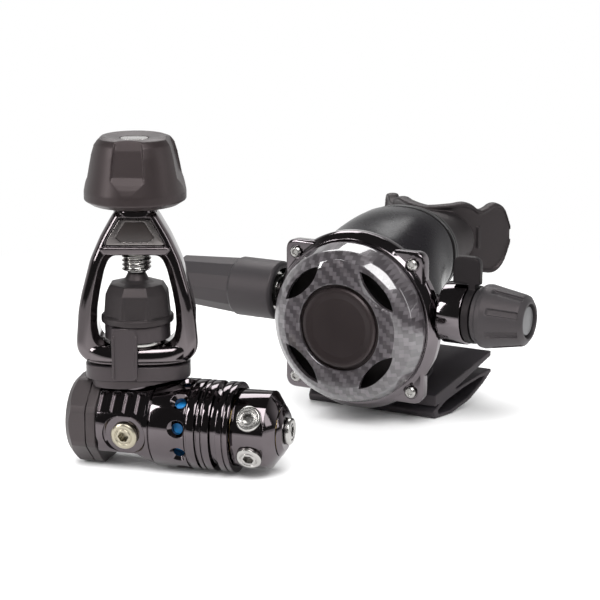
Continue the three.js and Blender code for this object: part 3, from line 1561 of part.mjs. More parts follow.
function mouthpiece() {
  const start = drumEnd + clearance;
  const outer = loft([
    ovalRing(start, sleeveHalfWidth, sleeveHalfHeight, drumUp, 2.4),
    ovalRing(neckEnd, sleeveHalfWidth * 0.98, sleeveHalfHeight * 0.94, drumUp, 2.4),
    ovalRing(mouthNeckAt, mouthNeckHalfWidth, mouthNeckHalfHeight, drumUp),
    ovalRing(shieldAt + shieldThickness, mouthNeckHalfWidth, mouthNeckHalfHeight * 0.85, shieldUp),
  ]);
  const sleeveBore = loft([
    ovalRing(start - overrun, neckHalfWidth + clearance, neckHalfHeight + clearance, drumUp),
    ovalRing(neckEnd + clearance, neckHalfWidth + clearance, neckHalfHeight + clearance, drumUp),
  ]);
  const bore = loft([
    ovalRing(neckEnd - overrun, mouthBoreHalfWidth, mouthBoreHalfHeight, drumUp),
    ovalRing(shieldAt + shieldSweep + overrun, mouthBoreHalfWidth, mouthBoreHalfHeight, shieldUp),
  ]);
  const bites = [-1, 1].map((side) => {
    const middle = side * biteAt;
    const front = shieldAt + shieldSweep * (biteAt / shieldHalfWidth) ** 2 + shieldThickness / 2;
    return block(
      [middle - biteWidth / 2, middle + biteWidth / 2],
      [front, front + biteLength],
      [shieldUp - biteHalfHeight, shieldUp + biteHalfHeight],
    );
  });
  return cut(join(outer, shield(), ...bites), sleeveBore, bore);
}

function addMouthpiece() {
  piece('mouthpiece', mouthpiece(), blackRubber(), secondStage);
  const room = clearance * 2;
  const innerAt = (extra) => [sleeveHalfWidth + extra, sleeveHalfHeight + extra];
  const ring = (extra, from, to) => loft([
    ovalRing(from, ...innerAt(extra), drumUp, 2.4),
    ovalRing(to, ...innerAt(extra), drumUp, 2.4),
  ]);
  const end = clampAt + clampWidth;
  const clamp = cut(ring(clampThickness, clampAt, end), ring(0, clampAt - room, end + room));
  piece('mouthpiece_clamp', clamp, blackPlastic(), secondStage);
}

addFirstStageBody();
addTurret();
addYoke();
addScrewAndKnob();
addFront();
addHousing();
addBarrel();
addControls();
addExhaust();
addMouthpiece();

// The footprint's centre becomes the origin
const set = new THREE.Group();
set.add(firstStage, secondStage);
set.updateMatrixWorld(true);
const box = new THREE.Box3().setFromObject(set, true);
set.position.set(-(box.min.x + box.max.x) / 2, -(box.min.y + box.max.y) / 2, -box.min.z);

export default set;
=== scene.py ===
"""Scuba regulator set: polished dark metal first stage and a second stage with a woven cover, on white.

Pieces are modelled in millimetres in the frame of their own stage and then placed in metres.
"""

import json
import math

import bmesh
import bpy
import numpy as np
from mathutils import Matrix, Vector


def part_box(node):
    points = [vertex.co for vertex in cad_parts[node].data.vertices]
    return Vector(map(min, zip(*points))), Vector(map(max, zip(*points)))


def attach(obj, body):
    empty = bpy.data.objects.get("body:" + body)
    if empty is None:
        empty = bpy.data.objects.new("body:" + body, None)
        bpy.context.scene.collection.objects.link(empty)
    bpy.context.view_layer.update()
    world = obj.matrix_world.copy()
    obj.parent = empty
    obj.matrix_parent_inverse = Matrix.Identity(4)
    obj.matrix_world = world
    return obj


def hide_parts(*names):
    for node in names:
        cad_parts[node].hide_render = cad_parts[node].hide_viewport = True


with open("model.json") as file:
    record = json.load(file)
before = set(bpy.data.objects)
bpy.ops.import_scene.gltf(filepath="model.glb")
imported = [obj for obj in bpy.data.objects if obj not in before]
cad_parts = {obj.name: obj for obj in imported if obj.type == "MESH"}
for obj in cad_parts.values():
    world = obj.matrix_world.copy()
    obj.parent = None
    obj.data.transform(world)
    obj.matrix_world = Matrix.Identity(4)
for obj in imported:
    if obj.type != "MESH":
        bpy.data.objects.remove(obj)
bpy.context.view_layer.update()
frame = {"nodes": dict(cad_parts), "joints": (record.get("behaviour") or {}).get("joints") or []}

MM = 0.001
CLEARANCE = 0.3
SPIN_SIDES = 160
SMALL_SIDES = 64
SHARP_ANGLE = 32

# Joints give the two stages their place
JOINTS = {j["name"]: j for j in frame["joints"]}
TURRET = JOINTS["turret_swivel"]
ADJUSTER = JOINTS["adjuster_turn"]


def stage_matrix(origin, along):
    x = Vector(along).normalized()
    z = Vector((0, 0, 1))
    y = z.cross(x)
    turn = Matrix((x, y, z)).transposed().to_4x4()
    return Matrix.Translation(Vector(origin) / MM) @ turn


BARREL_BACK, BARREL_UP = 11.0, 7.6
FIRST = stage_matrix(TURRET["pos_m"], TURRET["axis"])
FIRST_TURN = math.degrees(math.atan2(TURRET["axis"][1], TURRET["axis"][0]))
YOKE = Matrix.Translation(FIRST.translation)
BARREL = stage_matrix(ADJUSTER["pos_m"], ADJUSTER["axis"])
SECOND = BARREL @ Matrix.Translation((0, -BARREL_BACK, -BARREL_UP))

# Mesh helpers, all in millimetres


def new_object(name, verts, faces):
    mesh = bpy.data.meshes.new(name)
    mesh.from_pydata([tuple(v) for v in verts], [], faces)
    mesh.validate()
    obj = bpy.data.objects.new(name, mesh)
    bpy.context.scene.collection.objects.link(obj)
    return obj


def fillet(points, radius, steps=3, closed=False):
    """Rounds the corners of a polyline of pairs. radius is one number or one per corner."""
    count = len(points)
    radii = [radius] * count if np.isscalar(radius) else list(radius)
    out = []
    for i, p in enumerate(points):
        here = np.array(p, float)
        if radii[i] <= 0 or (not closed and i in (0, count - 1)):
            out.append(tuple(here))
            continue
        before = np.array(points[i - 1], float) - here
        after = np.array(points[(i + 1) % count], float) - here
        lb, la = np.linalg.norm(before), np.linalg.norm(after)
        before, after = before / lb, after / la
        half = math.acos(float(np.clip(before @ after, -1, 1))) / 2
        if half > math.pi / 2 - 0.03:
            out.append(tuple(here))
            continue
        reach = min(radii[i] / math.tan(half), 0.45 * lb, 0.45 * la)
        start, end = here + before * reach, here + after * reach
        for k in range(steps + 1):
            t = k / steps
            out.append(tuple((1 - t) ** 2 * start + 2 * t * (1 - t) * here + t**2 * end))
    return out


AXES = {
    "x": lambda r, s, c, n: (s, r * c, r * n),
    "y": lambda r, s, c, n: (r * n, s, r * c),
    "z": lambda r, s, c, n: (r * c, r * n, s),
}


def outward(obj):
    """Points all faces of a closed mesh outward."""
    bm = bmesh.new()
    bm.from_mesh(obj.data)
    bmesh.ops.remove_doubles(bm, verts=bm.verts, dist=1e-4)
    bmesh.ops.recalc_face_normals(bm, faces=bm.faces)
    if bm.calc_volume(signed=True) < 0:
        bmesh.ops.reverse_faces(bm, faces=bm.faces)
    bm.to_mesh(obj.data)
    bm.free()
    return obj


def lathe(profile, axis="x", sides=SPIN_SIDES, closed=False, shape=None):
    """Turns [radius, station] pairs about an axis. shape(angle, radius, station) can vary the radius."""
    place = AXES[axis]
    verts, rows = [], []
    for r, s in profile:
        if r < 1e-6:
            rows.append([len(verts)] * sides)
            verts.append(place(0, s, 1, 0))
            continue
        row = []
        for k in range(sides):
            a = 2 * math.pi * k / sides
            radius = shape(a, r, s) if shape else r
            row.append(len(verts))
            verts.append(place(radius, s, math.cos(a), math.sin(a)))
        rows.append(row)
    if closed:
        rows.append(rows[0])
    faces = []
    for low, high in zip(rows, rows[1:]):
        for k in range(sides):
            j = (k + 1) % sides
            quad = [low[k], low[j], high[j], high[k]]
            face = [v for i, v in enumerate(quad) if v not in quad[:i]]
            if len(face) > 2:
                faces.append(face)
    return outward(new_object("lathe", verts, faces))


def ring(profile, edge, axis="x", sides=SPIN_SIDES, steps=2):
    """A closed profile with rounded corners, turned about an axis."""
    return lathe(fillet(profile, edge, steps, closed=True), axis, sides, closed=True)


def rod(radius, low, high, axis="x", sides=SMALL_SIDES, edge=0.0):
    profile = [(0, low), (radius, low), (radius, high), (0, high)]
    return lathe(fillet(profile, edge) if edge else profile, axis, sides)


def loft(rings):
    """A closed solid through rings of equally many points."""
    count = len(rings[0])
    verts = [p for points in rings for p in points]
    faces = []
    for r in range(len(rings) - 1):
        for i in range(count):
            j = (i + 1) % count
            faces.append([r * count + i, r * count + j, (r + 1) * count + j, (r + 1) * count + i])
    faces.append(list(range(count))[::-1])
    faces.append([(len(rings) - 1) * count + i for i in range(count)])
    return outward(new_object("loft", verts, faces))


def inset(outline, amount):
    """Moves a closed outline of pairs inward along its normals."""
    pts = np.array(outline, float)
    ahead, behind = np.roll(pts, -1, 0), np.roll(pts, 1, 0)
    along = ahead - behind
    along /= np.linalg.norm(along, axis=1)[:, None] + 1e-12
    normal = np.stack([-along[:, 1], along[:, 0]], 1)
    area = 0.5 * np.sum(pts[:, 0] * ahead[:, 1] - ahead[:, 0] * pts[:, 1])
    return pts + normal * amount * (1 if area > 0 else -1)


PUT = {
    "x": lambda a, b, d: (d, a, b),
    "y": lambda a, b, d: (a, d, b),
    "z": lambda a, b, d: (a, b, d),
}


def slab(outline, low, high, axis="y", edge=0.0, steps=4):
    """An outline of pairs given depth along an axis, with rounded edges."""
    levels = [(low, 0)]
    if edge:
        turns = [k / steps * math.pi / 2 for k in range(steps + 1)]
        levels = [(low + edge * (1 - math.cos(t)), edge * (1 - math.sin(t))) for t in turns]
    levels += [(high + low - d, e) for d, e in levels[::-1]]
    rings = []
    for d, e in levels:
        pts = inset(outline, e) if e > 1e-6 else np.array(outline, float)
        rings.append([PUT[axis](a, b, d) for a, b in pts])
    return loft(rings)


def box(xs, ys, zs, edge=0.0):
    outline = [(xs[0], zs[0]), (xs[1], zs[0]), (xs[1], zs[1]), (xs[0], zs[1])]
    return slab(outline, ys[0], ys[1], "y", edge)


def superellipse(a, b, count=96, power=2.0):
    pts = []
    for i in range(count):
        t = 2 * math.pi * i / count
        c, s = math.cos(t), math.sin(t)
        radius = (abs(c) ** power + abs(s) ** power) ** (-1 / power)
        pts.append((a * c * radius, b * s * radius))
    return pts


def oval(back, half_w, half_h, up, power=2.0, count=96):
    return [(a, back, up + b) for a, b in superellipse(half_w, half_h, count, power)]


def smooth_open(values, at, xs):
    """A smooth curve through values at stations, sampled at xs."""
    at, values = np.array(at, float), np.array(values, float)
    slopes = np.gradient(values, at)
    out = []
    for x in xs:
        i = int(np.clip(np.searchsorted(at, x) - 1, 0, len(at) - 2))
        h = at[i + 1] - at[i]
        t = (x - at[i]) / h
        out.append((2 * t**3 - 3 * t**2 + 1) * values[i] + (t**3 - 2 * t**2 + t) * h * slopes[i]
                   + (-2 * t**3 + 3 * t**2) * values[i + 1] + (t**3 - t**2) * h * slopes[i + 1])
    return out


def bake(obj):
    """Replaces the mesh by what its modifiers give."""
    graph = bpy.context.evaluated_depsgraph_get()
    mesh = bpy.data.meshes.new_from_object(obj.evaluated_get(graph))
    obj.modifiers.clear()
    obj.data = mesh
    return obj


def combine(op, base, tools):
    for tool in tools:
        m = base.modifiers.new("cut", "BOOLEAN")
        m.operation = op
        m.solver = "MANIFOLD"
        m.object = tool
        bake(base)
        bpy.data.objects.remove(tool)
    return base


def cut(base, *tools):
    return combine("DIFFERENCE", base, tools)


def join(base, *others):
    return combine("UNION", base, others)


def common(base, *others):
    return combine("INTERSECT", base, others)


def turned(obj, axis, degrees):
    obj.data.transform(Matrix.Rotation(math.radians(degrees), 4, axis))
    return obj


def shifted(obj, x=0.0, y=0.0, z=0.0):
    obj.data.transform(Matrix.Translation((x, y, z)))
    return obj


def soften(obj, voxel, rounds, factor=0.5):
    """Makes one moulded skin with soft edges out of a solid."""
    m = obj.modifiers.new("skin", "REMESH")
    m.mode = "VOXEL"
    m.voxel_size = voxel
    m.use_smooth_shade = True
    bake(obj)
    m = obj.modifiers.new("soft", "SMOOTH")
    m.factor = factor
    m.iterations = rounds
    return bake(obj)


def settle(name, obj, place, body, material, nodes=(), smooth_angle=SHARP_ANGLE):
    """Places a finished piece in the row frame, in metres, parents it to its body's empty and hides the CAD nodes it
    replaces.
    """
    obj.name = name
    mesh = obj.data
    local = np.zeros(len(mesh.vertices) * 3, np.float32)
    mesh.vertices.foreach_get("co", local)
    mesh.transform(Matrix.Scale(MM, 4) @ place)
    attribute = mesh.attributes.new("local_mm", "FLOAT_VECTOR", "POINT")
    attribute.data.foreach_set("vector", local)
    mesh.shade_smooth()
    if smooth_angle:
        mesh.set_sharp_from_angle(angle=math.radians(smooth_angle))
    mesh.materials.clear()
    mesh.materials.append(material)
    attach(obj, body)
    if nodes:
        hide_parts(*nodes)
    return obj


# Materials


class Nodes:
    """Short names for building a material's node tree."""

    def __init__(self, name, inner=False):
        self.material = bpy.data.materials.new(name)
        self.material.use_nodes = True
        self.tree = self.material.node_tree
        self.shader = self.tree.nodes["Principled BSDF"]
        self.at = self.object_mm() if inner else self.local_mm()

    def add(self, kind, **values):
        node = self.tree.nodes.new(kind)
        for key, value in values.items():
            setattr(node, key, value)
        return node

    def link(self, a, b):
        self.tree.links.new(a, b)

    def put(self, value, socket):
        if hasattr(value, "is_linked"):
            self.link(value, socket)
        else:
            socket.default_value = value

    def local_mm(self):
        return self.add("ShaderNodeAttribute", attribute_name="local_mm").outputs["Vector"]

    def object_mm(self):
        scale = self.add("ShaderNodeVectorMath", operation="SCALE")
        scale.inputs["Scale"].default_value = 1 / MM
        self.link(self.add("ShaderNodeTexCoord").outputs["Object"], scale.inputs[0])
        return scale.outputs[0]

    def noise(self, scale, detail=3.0, rough=0.55):
        n = self.add("ShaderNodeTexNoise")
        n.inputs["Scale"].default_value = scale
        n.inputs["Detail"].default_value = detail
        n.inputs["Roughness"].default_value = rough
        self.link(self.at, n.inputs["Vector"])
        return n.outputs["Fac"]

    def math(self, op, a, b=None):
        n = self.add("ShaderNodeMath", operation=op)
        self.put(a, n.inputs[0])
        if b is not None:
            self.put(b, n.inputs[1])
        return n.outputs[0]

    def ramp(self, value, low, high):
        n = self.add("ShaderNodeMapRange")
        self.link(value, n.inputs["Value"])
        n.inputs["To Min"].default_value = low
        n.inputs["To Max"].default_value = high
        return n.outputs["Result"]

    def mix(self, factor, a, b):
        n = self.add("ShaderNodeMix", data_type="RGBA")
        self.put(factor, n.inputs["Factor"])
        for socket, v in ((n.inputs[6], a), (n.inputs[7], b)):
            self.put((*v, 1) if isinstance(v, tuple) else v, socket)
        return n.outputs[2]

    def edge(self, radius_mm):
        n = self.add("ShaderNodeBevel", samples=4)
        n.inputs["Radius"].default_value = radius_mm * MM
        return n.outputs["Normal"]

    def bump(self, height, strength, distance_mm, normal):
        n = self.add("ShaderNodeBump")
        n.inputs["Strength"].default_value = strength
        n.inputs["Distance"].default_value = distance_mm * MM
        self.link(height, n.inputs["Height"])
        self.link(normal, n.inputs["Normal"])
        return n.outputs["Normal"]

    def finish(self, color, rough, normal):
        self.put(color, self.shader.inputs["Base Color"])
        self.put(rough, self.shader.inputs["Roughness"])
        self.put(normal, self.shader.inputs["Normal"])
        return self.material


def metal(name, color, rough, spread=0.35, edge=0.35, grain=0.02, grain_scale=2.5, inner=False):
    n = Nodes(name, inner)
    cloud = n.noise(0.12, 4)
    dark = tuple(c * 0.86 for c in color)
    n.shader.inputs["Metallic"].default_value = 1.0
    normal = n.bump(n.noise(grain_scale, 2), grain, 0.05, n.edge(edge))
    rough_now = n.ramp(cloud, rough * (1 - spread), rough * (1 + spread))
    return n.finish(n.mix(cloud, dark, color), rough_now, normal)


WARM = (1.0, 0.86, 0.87)


def rubber(name, color, rough=0.5, edge=0.3, grain=0.3, shine=0.4, inner=False):
    n = Nodes(name, inner)
    cloud = n.noise(0.08, 4)
    pale = tuple(c * 1.3 for c in color)
    n.shader.inputs["Specular IOR Level"].default_value = shine
    n.shader.inputs["Specular Tint"].default_value = (*WARM, 1)
    normal = n.bump(n.noise(3.2, 3, 0.7), grain, 0.05, n.edge(edge))
    return n.finish(n.mix(cloud, color, pale), n.ramp(cloud, rough - 0.06, rough + 0.06), normal)


def plastic(name, color, rough, edge=0.3, grain=0.05, shine=0.5, inner=False):
    n = Nodes(name, inner)
    cloud = n.noise(0.1, 3)
    pale = tuple(c * 1.2 for c in color)
    n.shader.inputs["Specular IOR Level"].default_value = shine
    normal = n.bump(n.noise(2.0, 2), grain, 0.05, n.edge(edge))
    return n.finish(n.mix(cloud, color, pale), n.ramp(cloud, rough * 0.85, rough * 1.15), normal)


WEAVE_CELL = 1.9
TOW_DARK, TOW_MID = (0.044, 0.038, 0.042), (0.066, 0.058, 0.064)
TOW_LIGHT, TOW_PALE = (0.080, 0.071, 0.077), (0.130, 0.117, 0.127)


def woven(name):
    """Twill of two tow directions under a clear coat, laid flat across the cover."""
    n = Nodes(name)
    drift = n.add("ShaderNodeTexNoise")
    drift.inputs["Scale"].default_value = 0.05
    n.link(n.at, drift.inputs["Vector"])
    grown = n.add("ShaderNodeVectorMath", operation="SCALE")
    grown.inputs["Scale"].default_value = 3.0
    n.link(drift.outputs["Color"], grown.inputs[0])
    wobble = n.add("ShaderNodeVectorMath", operation="ADD")
    n.link(n.at, wobble.inputs[0])
    n.link(grown.outputs[0], wobble.inputs[1])
    split = n.add("ShaderNodeSeparateXYZ")
    n.link(wobble.outputs[0], split.inputs[0])
    u = n.math("DIVIDE", split.outputs["X"], WEAVE_CELL)
    v = n.math("DIVIDE", split.outputs["Z"], WEAVE_CELL)
    cell_u, cell_v = n.math("FLOOR", u), n.math("FLOOR", v)
    phase = n.math("FLOORED_MODULO", n.math("ADD", cell_u, cell_v), 4.0)
    over = n.math("LESS_THAN", phase, 1.5)
    across = n.math("SINE", n.math("MULTIPLY", n.math("FRACT", u), math.pi))
    along = n.math("SINE", n.math("MULTIPLY", n.math("FRACT", v), math.pi))
    crown = n.math("POWER", n.math("MULTIPLY", across, along), 0.25)
    seed = n.add("ShaderNodeCombineXYZ")
    n.link(cell_u, seed.inputs["X"])
    n.link(cell_v, seed.inputs["Y"])
    random = n.add("ShaderNodeTexWhiteNoise", noise_dimensions="3D")
    n.link(seed.outputs[0], random.inputs["Vector"])
    warp = n.mix(random.outputs["Value"], TOW_DARK, TOW_MID)
    weft = n.mix(random.outputs["Value"], TOW_LIGHT, TOW_PALE)
    shaded = n.mix(n.ramp(crown, 0.35, 0.0), n.mix(over, warp, weft), TOW_DARK)
    n.shader.inputs["Metallic"].default_value = 0.3
    n.shader.inputs["Coat Weight"].default_value = 1.0
    n.shader.inputs["Coat Roughness"].default_value = 0.03
    n.shader.inputs["Coat IOR"].default_value = 1.7
    height = n.math("ADD", crown, n.math("MULTIPLY", n.noise(6.0, 1), 0.2))
    return n.finish(shaded, n.ramp(over, 0.34, 0.42), n.bump(height, 0.08, 0.1, n.edge(0.5)))


BLACK_CHROME = metal("black_chrome", (0.112, 0.098, 0.104), 0.07)
YOKE_METAL = metal("yoke_metal", (0.122, 0.107, 0.111), 0.07, edge=0.7)
BEZEL_CHROME = metal("bezel_chrome", (0.150, 0.134, 0.142), 0.07, edge=0.5)
SATIN_CHROME = metal("satin_chrome", (0.24, 0.22, 0.215), 0.28, grain=0.05)
BRIGHT_STEEL = metal("bright_steel", (0.43, 0.42, 0.405), 0.24, grain=0.06)
GOLD_STEEL = metal("gold_steel", (0.40, 0.365, 0.285), 0.30, grain=0.06)
GREY_DISC = metal("grey_disc", (0.20, 0.20, 0.205), 0.4, grain=0.6, grain_scale=1.2)
BLACK_RUBBER = rubber("black_rubber", (0.0105, 0.0095, 0.010))
KNOB_RUBBER = rubber("knob_rubber", (0.0135, 0.0100, 0.0102), 0.42, grain=0.2, shine=0.45)
TEE_RUBBER = rubber("tee_rubber", (0.0200, 0.0185, 0.0215))
GUARD_RUBBER = rubber("guard_rubber", (0.0220, 0.0210, 0.0225), 0.50)
END_CAP_RUBBER = rubber("end_cap_rubber", (0.0240, 0.0210, 0.0215), 0.46)
LEVER_RUBBER = rubber("lever_rubber", (0.0070, 0.0065, 0.0070), 0.45, shine=0.2)
STRAP_RUBBER = rubber("strap_rubber", (0.0190, 0.0165, 0.0180), 0.40, grain=0.15, shine=0.5)
HOUSING_PLASTIC = plastic("housing_plastic", (0.0100, 0.0092, 0.0105), 0.27, shine=0.12)
DARK_PLASTIC = plastic("dark_plastic", (0.012, 0.011, 0.0115), 0.36)
BADGE_PLASTIC = plastic("badge_plastic", (0.022, 0.017, 0.016), 0.3, grain=0.5)
CARBON = woven("carbon_weave")
BLUE = plastic("blue_sleeve", (0.008, 0.19, 0.50), 0.4, inner=True)
INNER_STEEL = metal("inner_steel", (0.56, 0.55, 0.53), 0.24, grain=0.06, inner=True)
INNER_BRASS = metal("inner_brass", (0.62, 0.46, 0.2), 0.3, inner=True)
INNER_RUBBER = rubber("inner_rubber", (0.012, 0.011, 0.0115), inner=True)
INNER_PLASTIC = plastic("inner_plastic", (0.014, 0.013, 0.0135), 0.38, inner=True)

# First stage; stations run along the body from the yoke's axis

BODY_R, FIN_R, BODY_LEFT, BODY_END = 19.2, 20.0, -13.6, 46.9
AMBIENT_R = 15.4
HIGH_AT, HIGH_TILT = -0.5, 8
HIGH_PORTS = {"front": -HIGH_TILT, "rear": 180 + HIGH_TILT}


def to_port(obj, station, degrees):
    """A piece that points along +X is turned to its port: 0 degrees is the front, 90 the top."""
    turned(obj, "Z", -90)
    turned(obj, "X", -degrees)
    return shifted(obj, x=station)


def ambient_hole():
    radius, wide, sink = 2.5, 4.2, 1.8
    return lathe([(0, AMBIENT_R - 6), (radius, AMBIENT_R - 6), (radius, FIN_R - sink), (wide, FIN_R),
                  (wide, FIN_R + 3), (0, FIN_R + 3)], "x", 48)


def body_outline():
    r = FIN_R
    outer = [(9.0, BODY_LEFT), (BODY_R, BODY_LEFT), (BODY_R, 10.3), (BODY_R - 0.7, 10.6), (BODY_R - 0.7, 11.1),
             (r, 11.4), (r, 27.2), (r - 0.9, 27.2), (r - 0.9, 28.3), (r, 28.3), (r, 31.8), (r - 1.8, 31.8),
             (r - 1.8, 32.9), (r, 32.9), (r, 34.7), (r - 0.9, 34.7), (r - 0.9, 35.3), (r, 35.3), (r, 38.4),
             (r - 2.8, 38.4), (r - 2.8, 41.6), (r, 41.6), (r, 44.3), (r - 0.9, 44.3), (r - 0.9, 44.9),
             (r, 44.9), (r, BODY_END)]
    inner = [(AMBIENT_R, BODY_END), (AMBIENT_R, 13.0), (3.9, 13.0), (3.9, 8.0), (5.0, 8.0),
             (5.0, BODY_LEFT + 5), (9.0, BODY_LEFT + 5)]
    return outer + inner


def rounded_box(x1, x2, z1, z2, corner):
    return fillet([(x1, z1), (x2, z1), (x2, z2), (x1, z2)], corner, 5, closed=True)


def rib_pockets():
    """Four pockets in a shallow panel on the upper front."""
    front, tilt = -BODY_R - 3, -38
    panel = slab(rounded_box(BODY_LEFT - 6, 8.8, -6.4, 6.4, 1.6), front, -BODY_R + 0.9, "y")
    tools = [turned(panel, "X", tilt)]
    for k in range(4):
        middle = BODY_LEFT + 2.2 + 5.7 * k
        pocket = slab(rounded_box(middle - 1.7, middle + 1.7, -5.0, 5.0, 1.1), front, -BODY_R + 2.4, "y")
        tools.append(turned(pocket, "X", tilt))
    return tools


def main_body():
    body = ring(body_outline(), 0.28)
    join(body, rod(10.5, 6.0, 26.9, "z", 96, 0.5))
    tools = [rod(5.0, BODY_LEFT + 0.1, 8.0, "x", 64), rod(8.3, 6.0, 30.0, "z", 64),
             rod(9.0, BODY_LEFT - 3, BODY_LEFT + 5, "x", 64)]
    for side in HIGH_PORTS.values():
        spot = lathe([(0, 17.2), (9.0, 17.2), (9.9, 18.0), (9.9, 24.0), (0, 24.0)], "x", 96)
        tools += [to_port(spot, HIGH_AT, side), to_port(rod(4.4, 0.0, 20.0, "x", 48), HIGH_AT, side)]
    tools += [to_port(ambient_hole(), 24.0, 8 + 36 * k) for k in range(10)]
    tools += rib_pockets()
    flat_end, ramp_end, drop = BODY_LEFT + 18.2, BODY_LEFT + 26.6, BODY_R - 8
    flat = [(BODY_LEFT - 3, -FIN_R - 3), (ramp_end, -FIN_R - 3), (ramp_end, -FIN_R), (flat_end, -drop),
            (BODY_LEFT - 3, -drop)]
    tools.append(slab(fillet(flat, [0, 0, 1, 6, 0], 8, closed=True), -20, 20, "y"))
    return cut(body, *tools)


settle("main_body_v", main_body(), FIRST, "frame", BLACK_CHROME, ["main_body"])


def end_cap():
    left, right, apothem, rim = -28.5, BODY_LEFT - CLEARANCE, 19.4, 20.4
    corner = apothem / math.cos(math.pi / 8)
    angles = [math.pi / 8 + k * math.pi / 4 for k in range(8)]
    outline = fillet([(corner * math.cos(a), corner * math.sin(a)) for a in angles], 1.2, 4, closed=True)
    prism = slab(outline, left, right, "x", 0.5)
    body = common(prism, lathe([(0, left), (rim - 3.4, left), (rim, left + 3.4), (rim, right), (0, right)]))
    groove = ring([(apothem - 0.5, right - 4.6), (apothem + 4, right - 4.6), (apothem + 4, right - 4.0),
                   (apothem - 0.5, right - 4.0)], 0.1)
    return cut(body, groove)


settle("end_cap_v", end_cap(), FIRST, "frame", END_CAP_RUBBER, ["end_cap"])


def plug(radius, thickness, stem, length, seat):
    bevel, top = thickness / 4, seat + thickness
    profile = [(0, seat - length), (stem, seat - length), (stem, seat), (radius, seat),
               (radius, top - bevel), (radius - bevel * 1.4, top), (4.0, top), (3.8, top - 0.35), (3.4, top - 0.35),
               (3.2, top), (0, top)]
    body = lathe(fillet(profile, 0.15, 2), "x", 72)
    return cut(body, lathe([(0, top - 3), (2.5, top - 3), (2.5, top + 3), (0, top + 3)], "x", 6))


for label, side in HIGH_PORTS.items():
    node = f"high_port_plug_{label}"
    settle(node + "_v", to_port(plug(6.0, 2.3, 4.05, 7.5, 17.5), HIGH_AT, side), FIRST, "frame", GOLD_STEEL,
           [node])

T_LEFT, T_RIGHT, T_R, T_TIP = 47.2, 62.1, 17.2, 11.6
LOW_AT = (T_LEFT + T_RIGHT) / 2 + 0.8
LOW_PORTS = (30, -30, 150, 210)


def turret():
    body = ring([(9.9, T_LEFT), (T_R, T_LEFT), (T_R, T_RIGHT), (T_TIP, T_RIGHT + 4.0), (9.9, T_RIGHT + 4.0)], 0.4)
    tools = []
    for side in LOW_PORTS:
        flat = box((16.3, 22.0), (T_LEFT + 0.8 - LOW_AT, T_RIGHT - LOW_AT), (-T_R, T_R))
        tools += [to_port(flat, LOW_AT, side), to_port(rod(4.4, 0, 21, "x", 48), LOW_AT, side)]
    return cut(body, *tools)


settle("turret_v", turret(), FIRST, "turret", BLACK_CHROME, ["turret"])
for i, side in enumerate(LOW_PORTS):
    node = f"low_port_plug_{i + 1}"
    settle(node + "_v", to_port(plug(5.65, 2.1, 4.05, 4.6, 16.6), LOW_AT, side), FIRST, "turret", BRIGHT_STEEL,
           [node])

HEAD = T_RIGHT + 4.3
bolt = ring([(4.0, HEAD - 8), (5.9, HEAD - 8), (5.9, HEAD), (T_TIP, HEAD), (8.5, HEAD + 1.9), (4.0, HEAD + 1.9)], 0.2)
settle("turret_bolt_v", bolt, FIRST, "frame", BLACK_CHROME, ["turret_bolt"])
settle("low_port_plug_end_v", plug(5.9, 2.2, 3.7, 6.0, HEAD + 2.2), FIRST, "frame", BRIGHT_STEEL,
       ["low_port_plug_end"])

# Yoke, knob and dust cap; heights from the body's axis

Y_BOTTOM, Y_TOP, Y_HALF, Y_DEPTH = 27.2, 95.5, 26.7, 8.4
O_BOTTOM, O_TOP, O_HALF = 35.5, 75.4, 17.3
OUTER_SHARES = [(0.83, 0), (0.985, 0.075), (1, 0.13), (0.98, 0.22), (0.955, 0.34), (0.9, 0.45), (0.74, 0.68),
                (0.57, 0.83), (0.38, 0.96), (0.31, 1)]
OPENING_SHARES = [(0.72, 0), (0.94, 0.08), (1, 0.22), (0.985, 0.41), (0.91, 0.61), (0.79, 0.84), (0.69, 0.95),
                  (0.58, 1)]


def half_outline(shares, half, bottom, top):
    right = [(a * half, bottom + u * (top - bottom)) for a, u in shares]
    return right + [(-a, u) for a, u in right[::-1]]


def even(points, count, corner):
    """Even steps along a closed outline with rounded corners."""
    pts = np.array(fillet(points, corner, 8, closed=True))
    closed = np.vstack([pts, pts[:1]])
    length = np.concatenate([[0], np.cumsum(np.linalg.norm(np.diff(closed, axis=0), axis=1))])
    at = np.linspace(0, length[-1], count, endpoint=False)
    smooth = np.stack([np.interp(at, length, closed[:, k]) for k in (0, 1)], 1)
    for _ in range(6):
        smooth = 0.5 * smooth + 0.25 * (np.roll(smooth, 1, 0) + np.roll(smooth, -1, 0))
    return smooth


def yoke_base():
    """A bowl-like foot: height, half width and half depth."""
    rings = [(27.2, 20.8, 11.0), (27.6, 21.9, 11.9), (29.6, 22.7, 12.5), (31.5, 23.7, 12.4), (33.1, 24.4, 11.9),
             (34.3, 24.6, 11.2), (35.1, 24.2, 10.4), (35.5, 23.4, 9.9)]
    heights = np.linspace(rings[0][0], rings[-1][0], 24)
    at = [r[0] for r in rings]
    widths = smooth_open([r[1] for r in rings], at, heights)
    depths = smooth_open([r[2] for r in rings], at, heights)
    return loft([[(a, b, z) for a, b in superellipse(w, d, 160, 2.8)]
                 for z, w, d in zip(heights, widths, depths)])


P_TOP, P_BOTTOM = Y_TOP - 2.9, Y_TOP - 15.9
PLAQUE = [(13.8, P_BOTTOM), (7.0, P_TOP), (-7.0, P_TOP), (-13.8, P_BOTTOM)]
P_MIDDLE = (P_TOP + P_BOTTOM) / 2
BADGE = [(8.6, P_MIDDLE - 2.3), (4.3, P_MIDDLE + 4.6), (-4.3, P_MIDDLE + 4.6), (-8.6, P_MIDDLE - 2.3),
         (-6.0, P_MIDDLE - 4.6), (6.0, P_MIDDLE - 4.6)]


